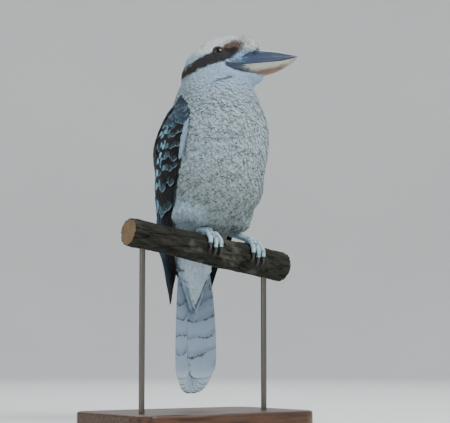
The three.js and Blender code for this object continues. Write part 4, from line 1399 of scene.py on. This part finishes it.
@once
def plumage_material(name):
    """Vanes with barbs and a shaft, crescents on the breast, pale spots on the wing and bars on the tail."""
    shader = Shader(name, roughness=0.75, sheen=0.04, specular=0.2)
    across, down, _ = shader.split(shader.node("ShaderNodeUVMap", {}, uv_map="vane"))
    scales, spots, bars = shader.split(shader.attribute("marks", "Vector"))
    length, width, chance = shader.split(shader.attribute("size", "Vector"))
    place = shader.place()
    off = shader.math("ABSOLUTE", across - 0.5)
    arc = off * off * 0.85
    jitter = (shader.noise(place, 420.0, 3.0) - 0.5) * 0.16
    vane = SimpleNamespace(
        across=across, down=down, edge=off * 2.0, arc=arc, jitter=jitter, level=down + arc + jitter,
        place=place, scales=scales, spots=spots, bars=bars, length=length, width=width, chance=chance,
    )
    colour = shader.mix(shader.attribute("tint"), CRESCENT, crescents(shader, vane) * 0.95)
    colour = shader.mix(colour, SPOT_BLUE, wing_spot(shader, vane))
    fringe = shader.pulse(vane.level, 0.95, 1.0) * shader.pulse(spots, 0.0, 0.05)
    colour = shader.mix(colour, FRINGE, fringe * 0.7)
    colour = shader.mix(colour, BAR, tail_bars(shader, vane))

    barb = shader.math("SINE", (down * length + vane.edge * width * -0.55) * 9.0)
    shaft = shader.pulse(vane.edge * width, 0.5, 0.2)
    dark = shader.mix(colour, BLACK, 0.35)
    colour = shader.mix(colour, dark, barb * 0.035 + jitter + 0.12)
    colour = shader.mix(colour, dark, shaft * 0.3)
    shader.bump(barb + shaft * 3.0, 0.25, 0.0002)
    return shader.colour(colour)


# Plain materials: look, scale and detail of their noise, strength and depth of its bump, the colour under
# it where the mesh holds none, the colour that it brings and how much of it
MOTTLED = {
    "skin_material": (
        {"roughness": 0.85, "sheen": 0.1, "specular": 0.2}, (900.0, 4.0), (0.5, 0.0006),
        None, (0.02, 0.018, 0.016), 0.5),
    "eye_material": ({"roughness": 0.08, "specular": 0.4}, (1600.0, 2.0), None, None, BLACK, 0.35),
    "lid_material": ({"roughness": 0.55}, (2600.0, 3.0), (0.5, 0.0003), None, (0.01, 0.01, 0.01), 0.5),
    "rod_material": (
        {"roughness": 0.32, "metallic": 1.0}, (800.0, 2.0), (0.08, 0.0002),
        srgb(120, 116, 108), srgb(96, 92, 86), 1.0),
    "floor_material": (
        {"roughness": 0.9, "specular": 0.1}, (3.0, 2.0), None,
        srgb(240, 240, 238), srgb(233, 234, 232), 1.0),
}


def mottled(name):
    if name in Shader.made:
        return Shader.made[name]
    look, grain, bump, ground, speck, most = MOTTLED[name]
    shader = Shader(name, **look)
    cloud = shader.noise(shader.place(), *grain)
    if bump:
        shader.bump(cloud, *bump)
    tint = shader.attribute("tint") if ground is None else ground
    return shader.colour(shader.mix(tint, speck, cloud * most))


@once
def horn_material(name):
    """Horn of bill and claws: faint growth lines and small scratches."""
    shader = Shader(name, roughness=0.36, coat=0.15)
    place = shader.place()
    cloud = shader.noise(place, 160.0, 4.0)
    scratch = shader.noise(place, 1500.0, 2.0)
    tint = shader.attribute("tint")
    colour = shader.mix(tint, shader.mix(tint, (0.5, 0.52, 0.52), 0.12), shader.pulse(scratch, 0.5, 0.75))
    colour = shader.mix(colour, (0.02, 0.02, 0.02), shader.pulse(cloud, 0.45, 0.75) * 0.22)
    shader.bump(scratch + cloud, 0.22, 0.0004)
    return shader.colour(colour)


@once
def scale_material(name):
    """Skin of the feet, with the fine net between the scutes."""
    shader = Shader(name, roughness=0.5, specular=0.4)
    cells = {"Vector": shader.place(), "Scale": 900.0}
    net = shader.node("ShaderNodeTexVoronoi", cells, feature="DISTANCE_TO_EDGE")
    edge = shader.pulse(net, 0.0, 0.12)
    tint = shader.attribute("tint")
    shader.bump(edge, 0.45, 0.0005)
    return shader.colour(shader.mix(shader.mix(tint, (0.05, 0.06, 0.06), 0.45), tint, edge))


@once
def bark_material(name):
    """Bark with dirt and lichen, and sawn ends with little of both."""
    shader = Shader(name, roughness=0.92, specular=0.2)
    place = shader.place()
    grain = shader.noise(place, 240.0, 8.0)
    lichen = shader.pulse(shader.noise(place, 38.0, 4.0), 0.56, 0.66)
    whole = 1.0 - shader.attribute("cut", "Fac") * 0.85
    dirt = shader.pulse(grain, 0.4, 0.7) * 0.6
    colour = shader.mix(shader.attribute("tint"), (0.018, 0.015, 0.012), dirt * whole)
    colour = shader.mix(colour, LICHEN, lichen * 0.25 * whole)
    shader.bump(grain, 0.7, 0.0012)
    return shader.colour(colour)


@once
def base_material(name):
    """Dark oiled wood with a long grain."""
    shader = Shader(name, roughness=0.42, specular=0.4, coat=0.1)
    stretched = shader.node("ShaderNodeMapping", {"Vector": shader.place(), "Scale": (2.0, 30.0, 30.0)})
    grain = shader.noise(stretched, 9.0, 6.0)
    pores = shader.noise(stretched, 60.0, 2.0)
    colour = shader.mix(srgb(92, 60, 38), srgb(48, 30, 20), shader.pulse(grain, 0.35, 0.68))
    colour = shader.mix(colour, srgb(30, 20, 14), shader.pulse(pores, 0.58, 0.7) * 0.6)
    shader.bump(pores, 0.15, 0.0004)
    return shader.colour(colour)


# Studio

CAMERA = {
    "azimuth": -35.0, "elevation": -5.5, "distance": 1600.0, "aside": 22.4, "height": 235.0,
    "mm_per_pixel": 1.12, "image_width": 450,
}
FLOOR = {"inner": 50, "flat": 2500, "curve": 900, "top": 1700, "around": 128}
# Azimuth, elevation, distance and width in metres, power and colour
LAMPS = {
    "key": (15, 42, 1.9, 1.0, 37, (1.0, 0.99, 0.96)),
    "fill": (-80, 20, 2.2, 1.6, 14, (0.86, 0.93, 1.0)),
    "back": (150, 50, 2.2, 1.2, 23, (0.92, 0.96, 1.0)),
}
LIT_PLACE = (0.012, 0, 0.28)
WORLD = {"colour": (0.86, 0.92, 1.0, 1), "strength": 0.47}


def build_floor():
    """Pale round floor that curves up all round."""
    turn = np.linspace(0, math.pi / 2, 16)[1:]
    flat = np.linspace(FLOOR["inner"], FLOOR["flat"], 6)
    end = FLOOR["flat"] + FLOOR["curve"]
    reach = np.concatenate([flat, FLOOR["flat"] + FLOOR["curve"] * np.sin(turn), [end]])
    rise = np.concatenate([0 * flat, FLOOR["curve"] * (1 - np.cos(turn)), [FLOOR["top"]]])
    angle = np.linspace(0, FULL_TURN, FLOOR["around"], endpoint=False)
    ring = np.stack([np.cos(angle), np.sin(angle), np.zeros(len(angle))], axis=1)
    grid = ring * reach[:, None, None] + np.array([0, 0, 1.0]) * rise[:, None, None]
    floor = make_mesh("studio_floor", grid.reshape(-1, 3), closed_grid(len(reach), len(angle)))
    floor.data.materials.append(mottled("floor_material"))


def from_view(azimuth, elevation):
    """Direction from the bird to something seen at those angles, in degrees."""
    turn, lift = math.radians(azimuth), math.radians(elevation)
    return Vector((math.sin(turn) * math.cos(lift), -math.cos(turn) * math.cos(lift), math.sin(lift)))


def build_camera():
    turn = math.radians(CAMERA["azimuth"])
    right = Vector((math.cos(turn), math.sin(turn), 0))
    target = Vector((BIRD_X, 0, CAMERA["height"])) + right * CAMERA["aside"]
    back = from_view(CAMERA["azimuth"], CAMERA["elevation"])
    data = bpy.data.cameras.new("camera")
    data.sensor_width = 36.0
    data.lens = CAMERA["distance"] / CAMERA["mm_per_pixel"] / CAMERA["image_width"] * data.sensor_width
    data.clip_start = 0.01
    data.clip_end = 50
    camera = in_scene("camera", data)
    camera.location = (target + back * CAMERA["distance"]) * MM
    camera.rotation_euler = back.to_track_quat("Z", "Y").to_euler()
    bpy.context.scene.camera = camera


def build_lights():
    for name, (azimuth, elevation, distance, size, power, colour) in LAMPS.items():
        light = bpy.data.lights.new(name, "AREA")
        light.shape = "SQUARE"
        light.size = size
        light.energy = power
        light.color = colour
        way = from_view(azimuth, elevation)
        lamp = in_scene(name, light)
        lamp.location = Vector(LIT_PLACE) + way * distance
        lamp.rotation_euler = way.to_track_quat("Z", "Y").to_euler()
    world = bpy.data.worlds.new("studio")
    bpy.context.scene.world = world
    world.use_nodes = True
    background = world.node_tree.nodes["Background"]
    background.inputs[0].default_value = WORLD["colour"]
    background.inputs[1].default_value = WORLD["strength"]


# The whole

# Heights that part the coat into head, breast and belly
ZONES = {"head": 366, "breast": 290}


def build_coat():
    skin = build_skin()
    surface = Surface(skin)
    places = face_places(skin)
    # The skin takes the same colours, with the painted shade along each cheek's crease.
    paint(skin, marking(surface.points)[0])
    finish_piece(skin, mottled("skin_material"), FLESH)
    roots = coat_roots(skin, surface)
    behind = np.abs(body_angle(roots)) > 90
    z = roots[:, 2]
    zones = {
        "coat_head": z > ZONES["head"],
        "coat_neck_breast": (z <= ZONES["head"]) & (z > ZONES["breast"]) & ~behind,
        "coat_belly": (z <= ZONES["breast"]) & ~behind,
        "coat_back": (z <= ZONES["head"]) & behind,
    }
    for name, chosen in zones.items():
        slot = "plumage_brown" if name == "coat_back" else "plumage_pale"
        zone = roots[chosen]
        for part in range(math.ceil(len(zone) / PIECE_FEATHERS)):
            some = zone[part * PIECE_FEATHERS:(part + 1) * PIECE_FEATHERS]
            contour_feathers(f"{name}_{part + 1}", surface, some, places)


def dress_stand():
    for node in ("stand_base", "stand_rod_left", "stand_rod_right"):
        materials = cad_mesh(node).materials
        materials.clear()
        materials.append(base_material() if node == "stand_base" else mottled("rod_material"))


def main():
    build_coat()
    for side, hand in HANDS.items():
        build_eye(hand, "eyeball_" + side, "eye_" + side)
        build_lids(hand, "lids_" + side)
        build_wing("wing_" + side, hand)
    build_bill("bill_top", "bill_upper", upper_bill_tint)
    build_bill("bill_bottom", "bill_lower", lower_bill_tint)
    build_tail()
    for side, spec in FEET.items():
        build_foot(side, spec)
    build_perch()
    dress_stand()
    build_floor()
    build_camera()
    build_lights()


main()
